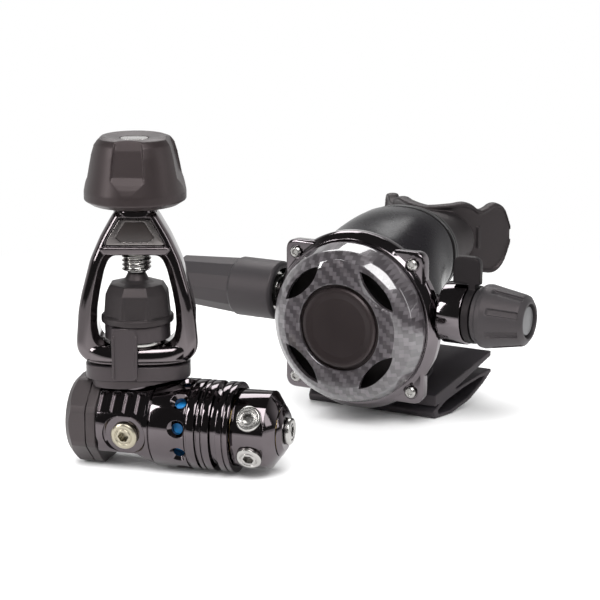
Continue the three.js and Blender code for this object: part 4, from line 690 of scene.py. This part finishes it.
def yoke():
    outer = even(half_outline(OUTER_SHARES, Y_HALF, Y_BOTTOM, Y_TOP), 260, 6)
    opening = even(half_outline(OPENING_SHARES, O_HALF, O_BOTTOM, O_TOP), 240, 3)
    arch = slab(outer, -Y_DEPTH, Y_DEPTH, "y", 4.0, 8)
    bevel = 2.8
    levels = [(-Y_DEPTH - 3, -bevel), (-Y_DEPTH - 0.05, -bevel), (-Y_DEPTH + bevel, 0), (Y_DEPTH - bevel, 0),
              (Y_DEPTH + 0.05, -bevel), (Y_DEPTH + 3, -bevel)]
    hollow = loft([[(a, d, b) for a, b in inset(opening, e)] for d, e in levels])
    crown = rod(9.6, Y_TOP - 14, Y_TOP, "z", 96, 0.9)
    sill = [(-15.6, 78.9), (-13.2, 76.3), (13.2, 76.3), (15.6, 78.9), (13.6, 79.5), (-13.6, 79.5)]
    bar = slab(fillet(sill, 0.8, 4, closed=True), -Y_DEPTH - 0.9, -Y_DEPTH + 3, "y", 0.5)
    body = join(cut(arch, hollow), yoke_base(), crown, bar)
    pocket = slab(fillet(PLAQUE, 1.4, 4, closed=True), -Y_DEPTH - 9, -Y_DEPTH + 0.8, "y")
    holes = [rod(6.85, O_TOP - 3, Y_TOP + 3, "z", 96), rod(8.3, Y_BOTTOM - 3, O_BOTTOM + 3, "z", 96)]
    return cut(body, pocket, *holes)


settle("yoke_v", yoke(), YOKE, "frame", YOKE_METAL, ["yoke"])
plate = slab(fillet(inset(PLAQUE, 0.9), 1.2, 4, closed=True), -Y_DEPTH + 0.1, -Y_DEPTH + 0.9, "y", 0.35)
cut(plate, slab(BADGE, -Y_DEPTH - 3, -Y_DEPTH + 0.6, "y"))
settle("yoke_plaque_v", plate, YOKE, "frame", SATIN_CHROME)
badge = slab(fillet(inset(BADGE, 0.35), 0.6, 3, closed=True), -Y_DEPTH + 0.3, -Y_DEPTH + 0.8, "y", 0.2)
settle("yoke_badge_v", badge, YOKE, "frame", BADGE_PLASTIC)

retainer = ring([(3.2, 6.3), (8.0, 6.3), (8.0, 35.8), (12.2, 35.8), (12.2, 37.3), (6.8, 37.3), (6.8, 39.0),
                 (3.2, 39.0)], 0.2, "z")
settle("yoke_retainer_v", retainer, YOKE, "frame", BRIGHT_STEEL, ["yoke_retainer"])

CAP_FLANGE, CAP_TOP = 45.2, 67.0
CAP_FACETS = 8


def cap_facets(angle, radius, station):
    """Flat sides between the flange and the shoulder, one of them square to the front."""
    if not CAP_FLANGE + 3.2 <= station <= CAP_FLANGE + 17.3 or radius < 9:
        return radius
    step = 2 * math.pi / CAP_FACETS
    off = (angle + step / 2) % step - step / 2
    return radius * 1.02 * math.cos(step / 2) / math.cos(off)


def dust_cap():
    flange_top, shoulder = CAP_FLANGE + 2.6, CAP_FLANGE + 17.5
    profile = [(0, 39.3), (7.1, 39.3), (7.1, 37.6), (12.7, 37.6), (12.7, CAP_FLANGE), (15.9, CAP_FLANGE),
               (15.9, flange_top), (15.2, flange_top + 0.5), (15.1, flange_top + 0.9), (14.2, shoulder - 4.4),
               (11.9, shoulder - 0.6), (7.6, shoulder), (5.3, shoulder + 1.2), (3.7, CAP_TOP), (0, CAP_TOP)]
    radii = [0, 0.3, 0.3, 0.3, 0.3, 0.7, 0.8, 0.2, 0, 2.0, 1.2, 1.5, 1.5, 0.7, 0]
    return lathe(fillet(profile, radii, 5), "z", 160, shape=cap_facets)


settle("dust_cap_v", dust_cap(), YOKE, "frame", BLACK_RUBBER, ["dust_cap"], 24)


def dust_cap_strap():
    x, half, front, foot, top = -4.8, 5.6, -15.0, 21.3, CAP_FLANGE - 0.3
    left, right = x - half, x + half
    arch = [(left + 0.7, foot), (right - 0.7, foot), (right, foot + 6), (right, top - 3), (right - 1.2, top - 0.8),
            (right - 4, top), (left + 4, top), (left + 1.2, top - 0.8), (left, top - 3), (left, foot + 6)]
    outline = fillet(arch, 1.0, 3, closed=True)
    band = slab(outline, front, front + 1.8, "y")
    rails = [box((a, a + 1.2), (front - 0.6, front + 0.9), (foot + 1.2, top - 3.5)) for a in (left, right - 1.2)]
    upper = box((left + 0.1, right - 0.1), (front + 0.3, -6.5), (37.9, top - 0.2))
    lower = box((left + 0.8, right - 0.8), (front + 0.3, -6.0), (foot + 0.2, 26.7))
    whole = join(rod(14.4, 37.9, top, "z", 128), band, *rails, upper, lower,
                 slab(superellipse(23.0, 13.0, 128, 3.0), 20.5, 26.9, "z"),
                 slab(superellipse(20.5, 12.0, 128, 3.0), 16.8, 20.5, "z"))
    body_tool = turned(rod(20.7, -30, 30, "x", 160), "Z", FIRST_TURN)
    cut(whole, rod(13.0, 34.9, CAP_FLANGE + 3, "z", 128), body_tool, rod(10.8, 13, 30, "z", 96))
    return soften(whole, 0.3, 2)


settle("dust_cap_strap_v", dust_cap_strap(), YOKE, "frame", STRAP_RUBBER, ["dust_cap_strap"], 0)

SCREW_LOW, SCREW_TOP, PITCH, THREADS = 67.3, 118.0, 1.9, 4


def yoke_screw():
    """The visible thread is a true helix in the radius; the rest is a plain cylinder."""
    start = SCREW_LOW + 0.9
    end = start + THREADS * PITCH
    stations = list(np.arange(start, end + 0.01, PITCH / 10))
    profile = [(0, SCREW_LOW), (4.3, SCREW_LOW), (4.5, SCREW_LOW + 0.2), (4.5, start - 0.05)]
    profile += [(6.5, s) for s in stations]
    profile += [(6.5, end + 0.3), (6.5, SCREW_TOP), (0, SCREW_TOP)]

    def shape(angle, radius, station):
        if not start <= station <= end + 0.05 or radius < 6:
            return radius
        turn = (station / PITCH - angle / (2 * math.pi)) % 1.0
        return radius - 0.8 * (0.5 + 0.5 * math.cos(2 * math.pi * turn)) ** 0.8

    return lathe(profile, "z", 96, shape=shape)


settle("yoke_screw_v", yoke_screw(), YOKE, "yoke_screw", BRIGHT_STEEL, ["yoke_screw"])

K_LOW, K_TOP, K_R, K_DISH, DISC_R = 97.3, 127.1, 22.2, 1.1, 6.0


def knob_groove():
    """Sloped side walls, a flat floor and a ledge that rounds over into the wall below."""
    ledge = [(-18.5, 14.2), (-20.2, 11.4), (-21.2, 9.2), (-21.9, 7.0), (-22.3, 5.0), (-30, 5.0)]
    side = [(y, K_LOW + z) for y, z in ledge] + [(-30, K_TOP + 4), (-12.8, K_TOP + 4), (-16.0, K_TOP - 4.5)]
    plan = [(-5.3, -14), (5.3, -14), (9.6, -26), (-9.6, -26)]
    floor = slab(fillet(side, [0.5, 3, 3, 3, 1, 0, 0, 0, 3], 5, closed=True), -12, 12, "x")
    return common(floor, slab(plan, K_LOW + 2, K_TOP + 5, "z"))


def yoke_knob():
    profile = [(0, K_LOW), (18.6, K_LOW), (K_R, K_LOW + 2.2), (K_R, K_LOW + 6), (19.0, K_TOP - 7.5),
               (17.7, K_TOP - 3.2), (15.9, K_TOP - 0.9), (13.4, K_TOP), (DISC_R + CLEARANCE, K_TOP - K_DISH), (0, K_TOP - K_DISH)]
    body = lathe(fillet(profile, [0, 0.6, 0.9, 6.0, 5.0, 3.0, 2.0, 1.2, 0.5, 0], 7), "z", 192)
    tools = [turned(knob_groove(), "Z", -5 + 90 * k) for k in range(4)]
    tools.append(rod(DISC_R + CLEARANCE, K_TOP - K_DISH - 1.2, K_TOP + 3, "z", 64))
    tools.append(rod(6.8, K_LOW - 3, SCREW_TOP + CLEARANCE, "z", 64))
    return soften(cut(body, *tools), 0.3, 2)


settle("yoke_knob_v", yoke_knob(), YOKE, "yoke_knob", KNOB_RUBBER, ["yoke_knob"], 0)
disc_top = K_TOP - K_DISH
disc = lathe(fillet([(0, disc_top - 0.9), (DISC_R, disc_top - 0.9), (DISC_R, disc_top), (0, disc_top)], 0.25, 3), "z")
settle("knob_top_disc_v", disc, YOKE, "yoke_knob", BRIGHT_STEEL, ["knob_top_disc"])

# Second stage; y runs back from the plane of the cover screws

H_R = 40.4
BEZEL_R, BEZEL_FRONT, BEZEL_BACK, BEZEL_BORE = H_R + 2.6, -1.6, 6.4, H_R - 3.8
REACH = (H_R + 2.7) / math.sqrt(2)
PLACES = [(-REACH, REACH), (REACH, REACH), (REACH, -REACH), (-REACH, -REACH)]


def barrel_hole():
    return shifted(rod(7.3, -46, 46, "x", 64), y=BARREL_BACK, z=BARREL_UP)


def bezel():
    profile = [(0, BEZEL_FRONT), (H_R - 0.6, BEZEL_FRONT), (BEZEL_R - 0.7, 1.2), (BEZEL_R, 2.6),
               (BEZEL_R, BEZEL_BACK), (0, BEZEL_BACK)]
    band = lathe(fillet(profile, [0, 0.7, 1.2, 1.2, 0.6, 0], 5), "y", 192)
    half = REACH + 5.9
    square = fillet([(-half, -half), (half, -half), (half, half), (-half, half)], 5.6, 10, closed=True)
    join(band, slab(square, 0, BEZEL_BACK - CLEARANCE, "y", 1.1, 5))
    tools = [rod(BEZEL_BORE, -5, 9, "y", 192), barrel_hole()]
    for x, z in PLACES:
        tools.append(shifted(rod(1.8, -3, 9, "y", 32), x=x, z=z))
        tools.append(shifted(rod(3.4, -3, 0.15, "y", 48), x=x, z=z))
    return cut(band, *tools)


settle("front_bezel_v", bezel(), SECOND, "frame", BEZEL_CHROME, ["front_bezel"])


def cover_screw():
    profile = [(0, -1.9), (2.0, -1.9), (2.75, -1.2), (2.75, -0.3), (1.5, -0.3), (1.5, 5.1), (0, 5.1)]
    socket = lathe([(0, -5), (1.5, -5), (1.5, -1.1), (0, -1.1)], "y", 6)
    return cut(lathe(fillet(profile, 0.15, 2), "y", 64), socket)


for i, (x, z) in enumerate(PLACES):
    node = f"cover_screw_{i + 1}"
    settle(node + "_v", shifted(cover_screw(), x=x, z=z), SECOND, "frame", BRIGHT_STEEL, [node])

RIM, CROWN, HIP = H_R - 1.9, -15.6, -11.6
C_HOLE, C_FLAT, C_HIP, C_WALL = RIM / 2 + 1.4, RIM - 9.6, RIM - 2.4, 2.0
SLOT_HALF, SLOT_RISE = 12.3, 3.4


def cover_slot():
    lens = []
    for j in range(33):
        s = -1 + 2 * j / 32
        lens.append((s * SLOT_HALF, -SLOT_RISE * (1 - abs(s) ** 2.4)))
    lens += [(a, -b) for a, b in lens[1:-1][::-1]]
    distance = (C_HOLE + C_FLAT) / 2 + 2.6
    return slab([(a, b + distance) for a, b in lens], CROWN - 3, -4.4, "y")


def front_cover():
    rim = BEZEL_FRONT - CLEARANCE
    outer = [(C_HOLE, CROWN + C_WALL), (C_HOLE, CROWN), (C_FLAT, CROWN), ((C_FLAT + C_HIP) / 2, CROWN + 0.9),
             (C_HIP, HIP), (RIM, -4.0), (RIM, rim)]
    inner = [(RIM - C_WALL, rim), (RIM - C_WALL, -3.7), (C_HIP - C_WALL, HIP + C_WALL), (C_FLAT, CROWN + C_WALL)]
    radii = [0.4, 0.8, 5.0, 3.0, 4.0, 4.0, 0.3, 0.3, 1.0, 2.0, 2.0]
    body = lathe(fillet(outer + inner, radii, 7, closed=True), "y", 224, closed=True)
    return cut(body, *[turned(cover_slot(), "Y", 45 + 90 * k) for k in range(4)])


settle("front_cover_v", front_cover(), SECOND, "frame", CARBON, ["front_cover"])

B_R, B_FRONT = C_HOLE - 1.6, CROWN - 0.4
F_FRONT = CROWN + C_WALL + CLEARANCE


def purge_button():
    profile = [(0, B_FRONT + 0.6), (B_R - 5.0, B_FRONT + 0.6), (B_R - 2.2, B_FRONT), (B_R - 0.9, B_FRONT + 0.1),
               (B_R, B_FRONT + 0.9), (B_R, F_FRONT), (C_HOLE + 1.5, F_FRONT), (C_HOLE + 1.5, F_FRONT + 1),
               (0, F_FRONT + 1)]
    return lathe(fillet(profile, [0, 1.5, 0.8, 0.5, 0.4, 0.2, 0.2, 0.2, 0], 4), "y")


settle("purge_button_v", purge_button(), SECOND, "purge", KNOB_RUBBER, ["purge_button"])

D_END, D_HALF_W, D_HALF_H, D_UP = 50.0, 28.6, 22.8, 23.6
N_END = 58.0
D_DEPTHS = [0, 0.14, 0.32, 0.52, 0.74, 1]
D_MORPHS = [0, 0.08, 0.34, 0.66, 0.9, 1]


def drum(wall, rim_radius, steps=28, count=160):
    """The housing's skin from its round rim back to the oval that carries the mouthpiece."""
    front = BEZEL_BACK + CLEARANCE
    depths = np.linspace(0, 1, steps)
    rings = []
    for depth, share in zip(depths, np.clip(smooth_open(D_MORPHS, D_DEPTHS, depths), 0, 1)):
        width = rim_radius + (D_HALF_W - wall - rim_radius) * share
        height = rim_radius + (D_HALF_H - wall - rim_radius) * share
        rings.append(oval(front + (D_END - wall - front) * depth, width, height, D_UP * share,
                          2.0 + 0.3 * share, count))
    return loft(rings)


EXHAUST_BACK = BEZEL_BACK + 20.3


def housing():
    front, rim_outer = BEZEL_BACK + CLEARANCE, BEZEL_BORE - CLEARANCE
    body = drum(0, H_R)
    neck = loft([oval(D_END - 2.2, 21, 15, D_UP), oval(N_END, 21, 15, D_UP)])
    boss = shifted(rod(12.0, 7 - H_R, 38 - H_R, "z", 96), y=EXHAUST_BACK)
    join(body, rod(rim_outer, -2.4, front + 3, "y", 160), neck, boss)
    tools = [rod(rim_outer - 2, -5.4, front + 3, "y", 160), drum(2.2, rim_outer - 2),
             loft([oval(D_END - 5.2, 18.6, 12.6, D_UP), oval(N_END + 3, 18.6, 12.6, D_UP)]),
             shifted(rod(9.5, 4 - H_R, 0, "z", 96), y=EXHAUST_BACK), barrel_hole()]
    return cut(body, *tools)


settle("housing_v", housing(), SECOND, "frame", HOUSING_PLASTIC, ["housing"], 40)

B_LEFT, S_LEFT, S_RIGHT = -H_R - 3.1, BEZEL_R + 0.4, BEZEL_R + 12.5

barrel = ring([(5.5, B_LEFT), (7.0, B_LEFT), (7.0, S_LEFT), (13.5, S_LEFT), (14.4, S_LEFT + 0.9), (14.4, S_RIGHT),
               (5.5, S_RIGHT)], 0.35)
settle("valve_barrel_v", barrel, BARREL, "frame", BEZEL_CHROME, ["valve_barrel"])

G_START = B_LEFT - 0.5
G_SHOULDER = G_START - 24
G_END = G_SHOULDER - 33.5


def hose_guard():
    smooth = lathe(fillet([(0, G_SHOULDER), (13.2, G_SHOULDER), (14.4, G_SHOULDER + 1.2), (14.4, G_START - 1.2),
                           (13.2, G_START), (0, G_START)], 0.6, 4))
    tail_profile = [(0, G_END), (9.6, G_END), (12.0, G_END + 2.4), (13.9, G_SHOULDER), (13.9, G_SHOULDER + 3),
                    (0, G_SHOULDER + 3)]
    tail = common(lathe(fillet(tail_profile, 1.2, 4)), lathe(tail_profile, "x", 12))
    whole = join(smooth, tail)
    cut(whole, rod(10.9, G_SHOULDER - 16.5, G_START + 3, "x", 96), rod(8.0, G_END - 3, G_SHOULDER - 13, "x", 96))
    return soften(whole, 0.3, 1)


settle("hose_guard_v", hose_guard(), BARREL, "frame", GUARD_RUBBER, ["hose_guard"], 0)

L_LEFT = S_RIGHT + CLEARANCE
L_RIGHT = L_LEFT + 3.6


def venturi_lever():
    left = L_LEFT - 7.8
    right = left + 13.6
    outline = [(left, 14.9), (right, 14.9), (right, 28.0), (left, 28.0)]
    tab = slab(fillet(outline, [1.0, 1.0, 4.5, 4.5], 7, closed=True), -5, -1, "y", 0.8, 3)
    stem = box((L_LEFT, L_RIGHT), (-5, -0.4), (7.7, 17.9))
    whole = join(rod(13.6, L_LEFT, L_RIGHT, "x", 128), tab, stem)
    cut(whole, rod(7.4, L_LEFT - 3, L_RIGHT + 3, "x", 96))
    return soften(whole, 0.28, 3)


settle("venturi_lever_v", venturi_lever(), BARREL, "venturi_lever", LEVER_RUBBER,
       ["venturi_lever"], 0)

A_START = L_RIGHT + 0.5
A_WIDE, A_END = A_START + 5.1, A_START + 24.8


def adjustment_knob():
    collar, lip = A_START + 2.4, A_END - 11.9 / 6
    profile = [(0, A_START), (13.2, A_START), (13.2, collar), (14.7, collar + 0.3), (15.0, A_WIDE), (11.9, lip),
               (9.2, A_END), (0, A_END)]
    body = lathe(fillet(profile, [0, 0.5, 0.3, 0.8, 3.0, 1.5, 0.6, 0], 5), "x", 192)
    tools = [rod(8.0, A_END - 2.6, A_END + 3, "x", 96), rod(5.1, A_START - 3, A_END - 5.7, "x", 64)]
    for k in range(8):
        side = [(A_WIDE + 2.6, 18), (A_WIDE + 3.2, 14.0), (A_WIDE + 4.6, 13.2), (lip, 10.7), (lip, 18)]
        groove = slab(fillet(side, [0, 1, 1, 0, 0], 3, closed=True), -1.5, 1.5, "y")
        tools.append(turned(groove, "X", 360 * (k + 0.5) / 8))
    cut(body, *tools)
    return soften(body, 0.26, 2)


settle("adjustment_knob_v", adjustment_knob(), BARREL, "adjuster", GUARD_RUBBER,
       ["adjustment_knob"], 0)
end_disc = lathe(fillet([(0, A_END - 2.3), (6.6, A_END - 2.3), (6.6, A_END - 1.1), (0, A_END - 1.1)], 0.25, 3))
settle("adjustment_end_disc_v", end_disc, BARREL, "adjuster", GREY_DISC, ["adjustment_end_disc"])

TEE_FRONT, TEE_BACK, TEE_LOW, TEE_H = 18.5, 62.0, -H_R - 8.2, 16.5
TEE_SHARES = [(0.03, 0), (0.3, 0), (0.62, 0.24), (0.86, 0.62), (1, 0.92), (0.98, 1), (0.8, 0.94), (0.5, 0.78),
              (0.2, 0.56), (0, 0.2)]
DUCT_SHARES = [(0.1, 0.11), (0.3, 0.12), (0.6, 0.35), (0.82, 0.69), (0.9, 0.84), (0.78, 0.81), (0.5, 0.66),
               (0.22, 0.44), (0.08, 0.22)]


def tee_outline(shares):
    return [(TEE_FRONT + a * (TEE_BACK - TEE_FRONT), TEE_LOW + u * TEE_H) for a, u in shares]


def exhaust_tee():
    reach = 49.0
    wing = slab(fillet(tee_outline(TEE_SHARES), 1.5, 3, closed=True), -reach, reach, "x")
    web = slab([(20, TEE_LOW + 5.9), (61, TEE_LOW + 22.9), (61, TEE_LOW + 25.7), (20, TEE_LOW + 11.5)], -reach,
               reach, "x")
    plan = slab([(-33, TEE_FRONT - 3), (33, TEE_FRONT - 3), (46, TEE_BACK + 3), (-46, TEE_BACK + 3)],
                TEE_LOW - 3, 0, "z")
    saddle = slab(rounded_box(-24, 24, 12, 42, 6), TEE_LOW + TEE_H / 2, TEE_LOW + 27.9, "z", 1.5)
    whole = join(common(join(wing, web), plan), saddle)
    cut(whole, slab(tee_outline(DUCT_SHARES), -reach - 3, reach + 3, "x"),
        shifted(rod(12.3, 6.7 - H_R, TEE_LOW + 31, "z", 96), y=EXHAUST_BACK),
        shifted(rod(10.9, TEE_LOW + TEE_H / 2, TEE_LOW + 27.9, "z", 96), y=EXHAUST_BACK),
        rod(BEZEL_R + 0.3, -3, BEZEL_BACK + 0.6, "y", 192),
        drum(-0.3, H_R + 0.3))
    return soften(whole, 0.38, 3)


settle("exhaust_tee_v", exhaust_tee(), SECOND, "frame", TEE_RUBBER, ["exhaust_tee"], 0)

SHIELD_AT, SHIELD_T, SHIELD_W, SHIELD_UP, SWEEP = 79.0, 3.6, 34.8, 26.0, 27.0
SHIELD_TOP, SHIELD_LOW = 18.0, 19.0
S_STATIONS = [0.0, 0.12, 0.35, 0.54, 0.62, 0.68, 0.76, 0.82, 0.88, 0.95, 1.0]
S_TOPS = [0.9, 0.92, 0.97, 1.0, 0.92, 0.79, 0.83, 0.93, 0.92, 0.72, 0.25]
S_LOWS = [0.66, 0.7, 0.86, 1.0, 1.0, 0.95, 0.98, 1.0, 0.94, 0.66, 0.2]


def shield_ring(x, top_share, low_share):
    """A thin section with a thicker rim, its thickness square to the bow."""
    slope = 2 * SWEEP * x / SHIELD_W
    length = math.hypot(1, slope)
    front = SHIELD_AT + SWEEP * x**2
    in_x = x * SHIELD_W - SHIELD_T * slope / length
    back = front + SHIELD_T / length
    top, low = SHIELD_UP + SHIELD_TOP * top_share, SHIELD_UP - SHIELD_LOW * low_share
    half = [(0, 2.6), (-0.3, 1.7), (-0.3, 0.5), (0.2, 0), (0.8, 0), (1.3, 0.5), (1.3, 1.7), (1, 2.6)]
    corners = [(t, top - d) for t, d in half] + [(t, low + d) for t, d in half[::-1]]
    return [(x * SHIELD_W + (in_x - x * SHIELD_W) * t, front + (back - front) * t, z) for t, z in corners]


def shield():
    xs = np.linspace(-1, 1, 81)
    tops = smooth_open(S_TOPS, S_STATIONS, np.abs(xs))
    lows = smooth_open(S_LOWS, S_STATIONS, np.abs(xs))
    return loft([shield_ring(x, t, b) for x, t, b in zip(xs, tops, lows)])


def mouthpiece():
    start = D_END + CLEARANCE
    at = [start, 54, 58, 62, 66, 72, SHIELD_AT + SHIELD_T]
    w = [27.0, 27.0, 26.4, 25.2, 24.5, 24.4, 25.5]
    h = [21.4, 21.3, 20.1, 18.0, 16.5, 15.2, 15.0]
    up = [D_UP, D_UP, D_UP, D_UP, D_UP, 24.6, SHIELD_UP]
    ys = np.linspace(start, SHIELD_AT + SHIELD_T, 32)
    outer = loft([oval(y, a, b, c, 2.2, 128) for y, a, b, c in
                  zip(ys, smooth_open(w, at, ys), smooth_open(h, at, ys), smooth_open(up, at, ys))])
    bites = []
    for side in (-1, 1):
        middle = side * 21
        front = SHIELD_AT + SWEEP * (21 / SHIELD_W) ** 2 + SHIELD_T / 2
        bites.append(box((middle - 3.5, middle + 3.5), (front, front + 12), (SHIELD_UP - 5.5, SHIELD_UP + 5.5)))
    ridges = [loft([oval(y + d, 26.9 + e, 20.9 + e, D_UP, 2.2, 128) for d, e in
                    ((-0.5, 0), (-0.3, 0.45), (0.3, 0.45), (0.5, 0))]) for y in (51.2, 52.7)]
    whole = join(outer, shield(), *bites, *ridges)
    cut(whole, loft([oval(start - 3, 21.3, 15.3, D_UP), oval(N_END + 0.3, 21.3, 15.3, D_UP)]),
        loft([oval(N_END - 3, 16, 8.5, D_UP), oval(SHIELD_AT + SWEEP + 3, 16, 8.5, SHIELD_UP)]))
    return soften(whole, 0.38, 4)


settle("mouthpiece_v", mouthpiece(), SECOND, "frame", BLACK_RUBBER, ["mouthpiece"], 0)


def clamp():
    outer = loft([oval(54 + d, 28.2 - e, 22.6 - e, D_UP, 2.2, 160) for d, e in
                  ((0, 0.3), (0.3, 0), (1.4, 0), (1.5, 0.8), (1.9, 0.8), (2.0, 0), (3.1, 0), (3.4, 0.3))])
    return cut(outer, loft([oval(53, 27.0, 21.4, D_UP, 2.2, 160), oval(58.4, 27.0, 21.4, D_UP, 2.2, 160)]))


settle("mouthpiece_clamp_v", clamp(), SECOND, "frame", DARK_PLASTIC, ["mouthpiece_clamp"])

# CAD nodes that stay as they are

PLAIN = {
    "high_seat_retainer": INNER_BRASS, "high_seat": INNER_PLASTIC, "piston": INNER_STEEL,
    "main_spring": INNER_STEEL, "insulating_sleeve": BLUE, "swivel_core": INNER_BRASS,
    "inlet_filter": INNER_BRASS, "purge_spring": INNER_STEEL, "diaphragm": INNER_RUBBER,
    "diaphragm_disc": INNER_STEEL, "inlet_fitting": INNER_STEEL, "poppet": INNER_PLASTIC,
    "poppet_spring": INNER_STEEL, "hose_nut": INNER_STEEL, "hose_ferrule": INNER_STEEL,
    "adjustment_screw": INNER_STEEL, "demand_lever": INNER_STEEL, "exhaust_valve": INNER_RUBBER,
}
for node, material in PLAIN.items():
    mesh = frame["nodes"][node].data
    mesh.materials.clear()
    mesh.materials.append(material)

# Floor, surroundings, lights and camera

FLOOR_NEAR, FLOOR_FAR = 0.22, 0.42


def any_ray(tree, *kinds):
    """1 where the ray is of one of the kinds."""
    paths = tree.nodes.new("ShaderNodeLightPath")
    found = paths.outputs[kinds[0]]
    for kind in kinds[1:]:
        larger = tree.nodes.new("ShaderNodeMath")
        larger.operation = "MAXIMUM"
        tree.links.new(found, larger.inputs[0])
        tree.links.new(paths.outputs[kind], larger.inputs[1])
        found = larger.outputs[0]
    return found


def floor_material():
    """White, and for the camera plain white far from the object."""
    m = bpy.data.materials.new("floor")
    m.use_nodes = True
    tree = m.node_tree
    shader = tree.nodes["Principled BSDF"]
    shader.inputs["Base Color"].default_value = (0.95, 0.95, 0.95, 1)
    shader.inputs["Roughness"].default_value = 0.6
    shader.inputs["Specular IOR Level"].default_value = 0.1
    glow = tree.nodes.new("ShaderNodeEmission")
    length = tree.nodes.new("ShaderNodeVectorMath")
    length.operation = "LENGTH"
    tree.links.new(tree.nodes.new("ShaderNodeTexCoord").outputs["Object"], length.inputs[0])
    far = tree.nodes.new("ShaderNodeMapRange")
    far.interpolation_type = "SMOOTHSTEP"
    far.inputs["From Min"].default_value = FLOOR_NEAR
    far.inputs["From Max"].default_value = FLOOR_FAR
    tree.links.new(length.outputs["Value"], far.inputs["Value"])
    seen = tree.nodes.new("ShaderNodeMath")
    seen.operation = "MULTIPLY"
    tree.links.new(far.outputs["Result"], seen.inputs[0])
    tree.links.new(any_ray(tree, "Is Camera Ray", "Is Glossy Ray", "Is Transmission Ray"), seen.inputs[1])
    blend = tree.nodes.new("ShaderNodeMixShader")
    tree.links.new(seen.outputs[0], blend.inputs[0])
    tree.links.new(shader.outputs[0], blend.inputs[1])
    tree.links.new(glow.outputs[0], blend.inputs[2])
    tree.links.new(blend.outputs[0], tree.nodes["Material Output"].inputs["Surface"])
    return m


FLOOR_FRONT, FLOOR_SIDE, FLOOR_BACK = -0.5, 1.2, 3.0
floor = new_object("floor", [(-FLOOR_SIDE, FLOOR_FRONT, 0), (FLOOR_SIDE, FLOOR_FRONT, 0),
                             (FLOOR_SIDE, FLOOR_BACK, 0), (-FLOOR_SIDE, FLOOR_BACK, 0)], [[0, 1, 2, 3]])
floor.location.z = -0.0002
floor.data.materials.append(floor_material())


def surroundings():
    """White to the camera. Metal sees the white backdrop behind and a dark room above and in front."""
    world = bpy.data.worlds.new("world")
    bpy.context.scene.world = world
    world.use_nodes = True
    tree = world.node_tree
    tree.nodes.clear()
    split = tree.nodes.new("ShaderNodeSeparateXYZ")
    tree.links.new(tree.nodes.new("ShaderNodeTexCoord").outputs["Generated"], split.inputs[0])

    def fade(socket, low, high):
        node = tree.nodes.new("ShaderNodeMapRange")
        node.interpolation_type = "SMOOTHSTEP"
        node.inputs["From Min"].default_value = low
        node.inputs["From Max"].default_value = high
        tree.links.new(split.outputs[socket], node.inputs["Value"])
        return node.outputs["Result"]

    behind = tree.nodes.new("ShaderNodeMath")
    behind.operation = "MULTIPLY"
    tree.links.new(fade("Y", -0.15, 0.35), behind.inputs[0])
    tree.links.new(fade("Z", 0.62, 0.18), behind.inputs[1])

    def background(strength):
        node = tree.nodes.new("ShaderNodeBackground")
        node.inputs["Strength"].default_value = strength
        node.inputs["Color"].default_value = (1, 1, 1, 1)
        return node.outputs[0]

    def blend(factor, a, b):
        node = tree.nodes.new("ShaderNodeMixShader")
        tree.links.new(factor, node.inputs[0])
        tree.links.new(a, node.inputs[1])
        tree.links.new(b, node.inputs[2])
        return node.outputs[0]

    room = blend(behind.outputs[0], background(0.07), background(1.0))
    lit = blend(any_ray(tree, "Is Glossy Ray"), background(0.75), room)
    seen = blend(any_ray(tree, "Is Camera Ray", "Is Transmission Ray"), lit, background(1.0))
    tree.links.new(seen, tree.nodes.new("ShaderNodeOutputWorld").inputs[0])


surroundings()

CENTRE = Vector((0, -0.03, 0.05))


def softbox(name, place, size, power):
    light = bpy.data.lights.new(name, "AREA")
    light.shape = "RECTANGLE"
    light.size, light.size_y = size
    light.energy = power
    obj = bpy.data.objects.new(name, light)
    obj.location = place
    obj.rotation_mode = "QUATERNION"
    obj.rotation_quaternion = (CENTRE - Vector(place)).to_track_quat("-Z", "Y")
    bpy.context.scene.collection.objects.link(obj)
    return obj


softbox("front_top", (0.04, -0.66, 0.80), (0.60, 0.50), 9.0)
softbox("key_left", (-0.80, -0.45, 0.45), (0.14, 0.60), 4.4)
softbox("right", (0.85, -0.30, 0.40), (0.20, 0.60), 1.3)
softbox("back", (-0.10, 0.65, 0.85), (0.80, 0.35), 6.0)

CAMERA_OFFSET_X, CAMERA_OFFSET_Y, CAMERA_HEIGHT, CAMERA_PITCH = 0.0713, -0.8523, 0.2791, 13.52
knob_low, knob_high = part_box("yoke_knob")
knob_centre = (knob_low + knob_high) / 2
camera_data = bpy.data.cameras.new("camera")
camera_data.lens = 120
camera_data.sensor_width = 36
camera_data.clip_start = 0.05
camera_data.clip_end = 50
camera = bpy.data.objects.new("camera", camera_data)
camera.location = (knob_centre.x + CAMERA_OFFSET_X, knob_centre.y + CAMERA_OFFSET_Y, CAMERA_HEIGHT)
camera.rotation_euler = (math.radians(90 - CAMERA_PITCH), 0, 0)
bpy.context.scene.collection.objects.link(camera)
bpy.context.scene.camera = camera

bpy.context.scene.view_settings.view_transform = "Standard"
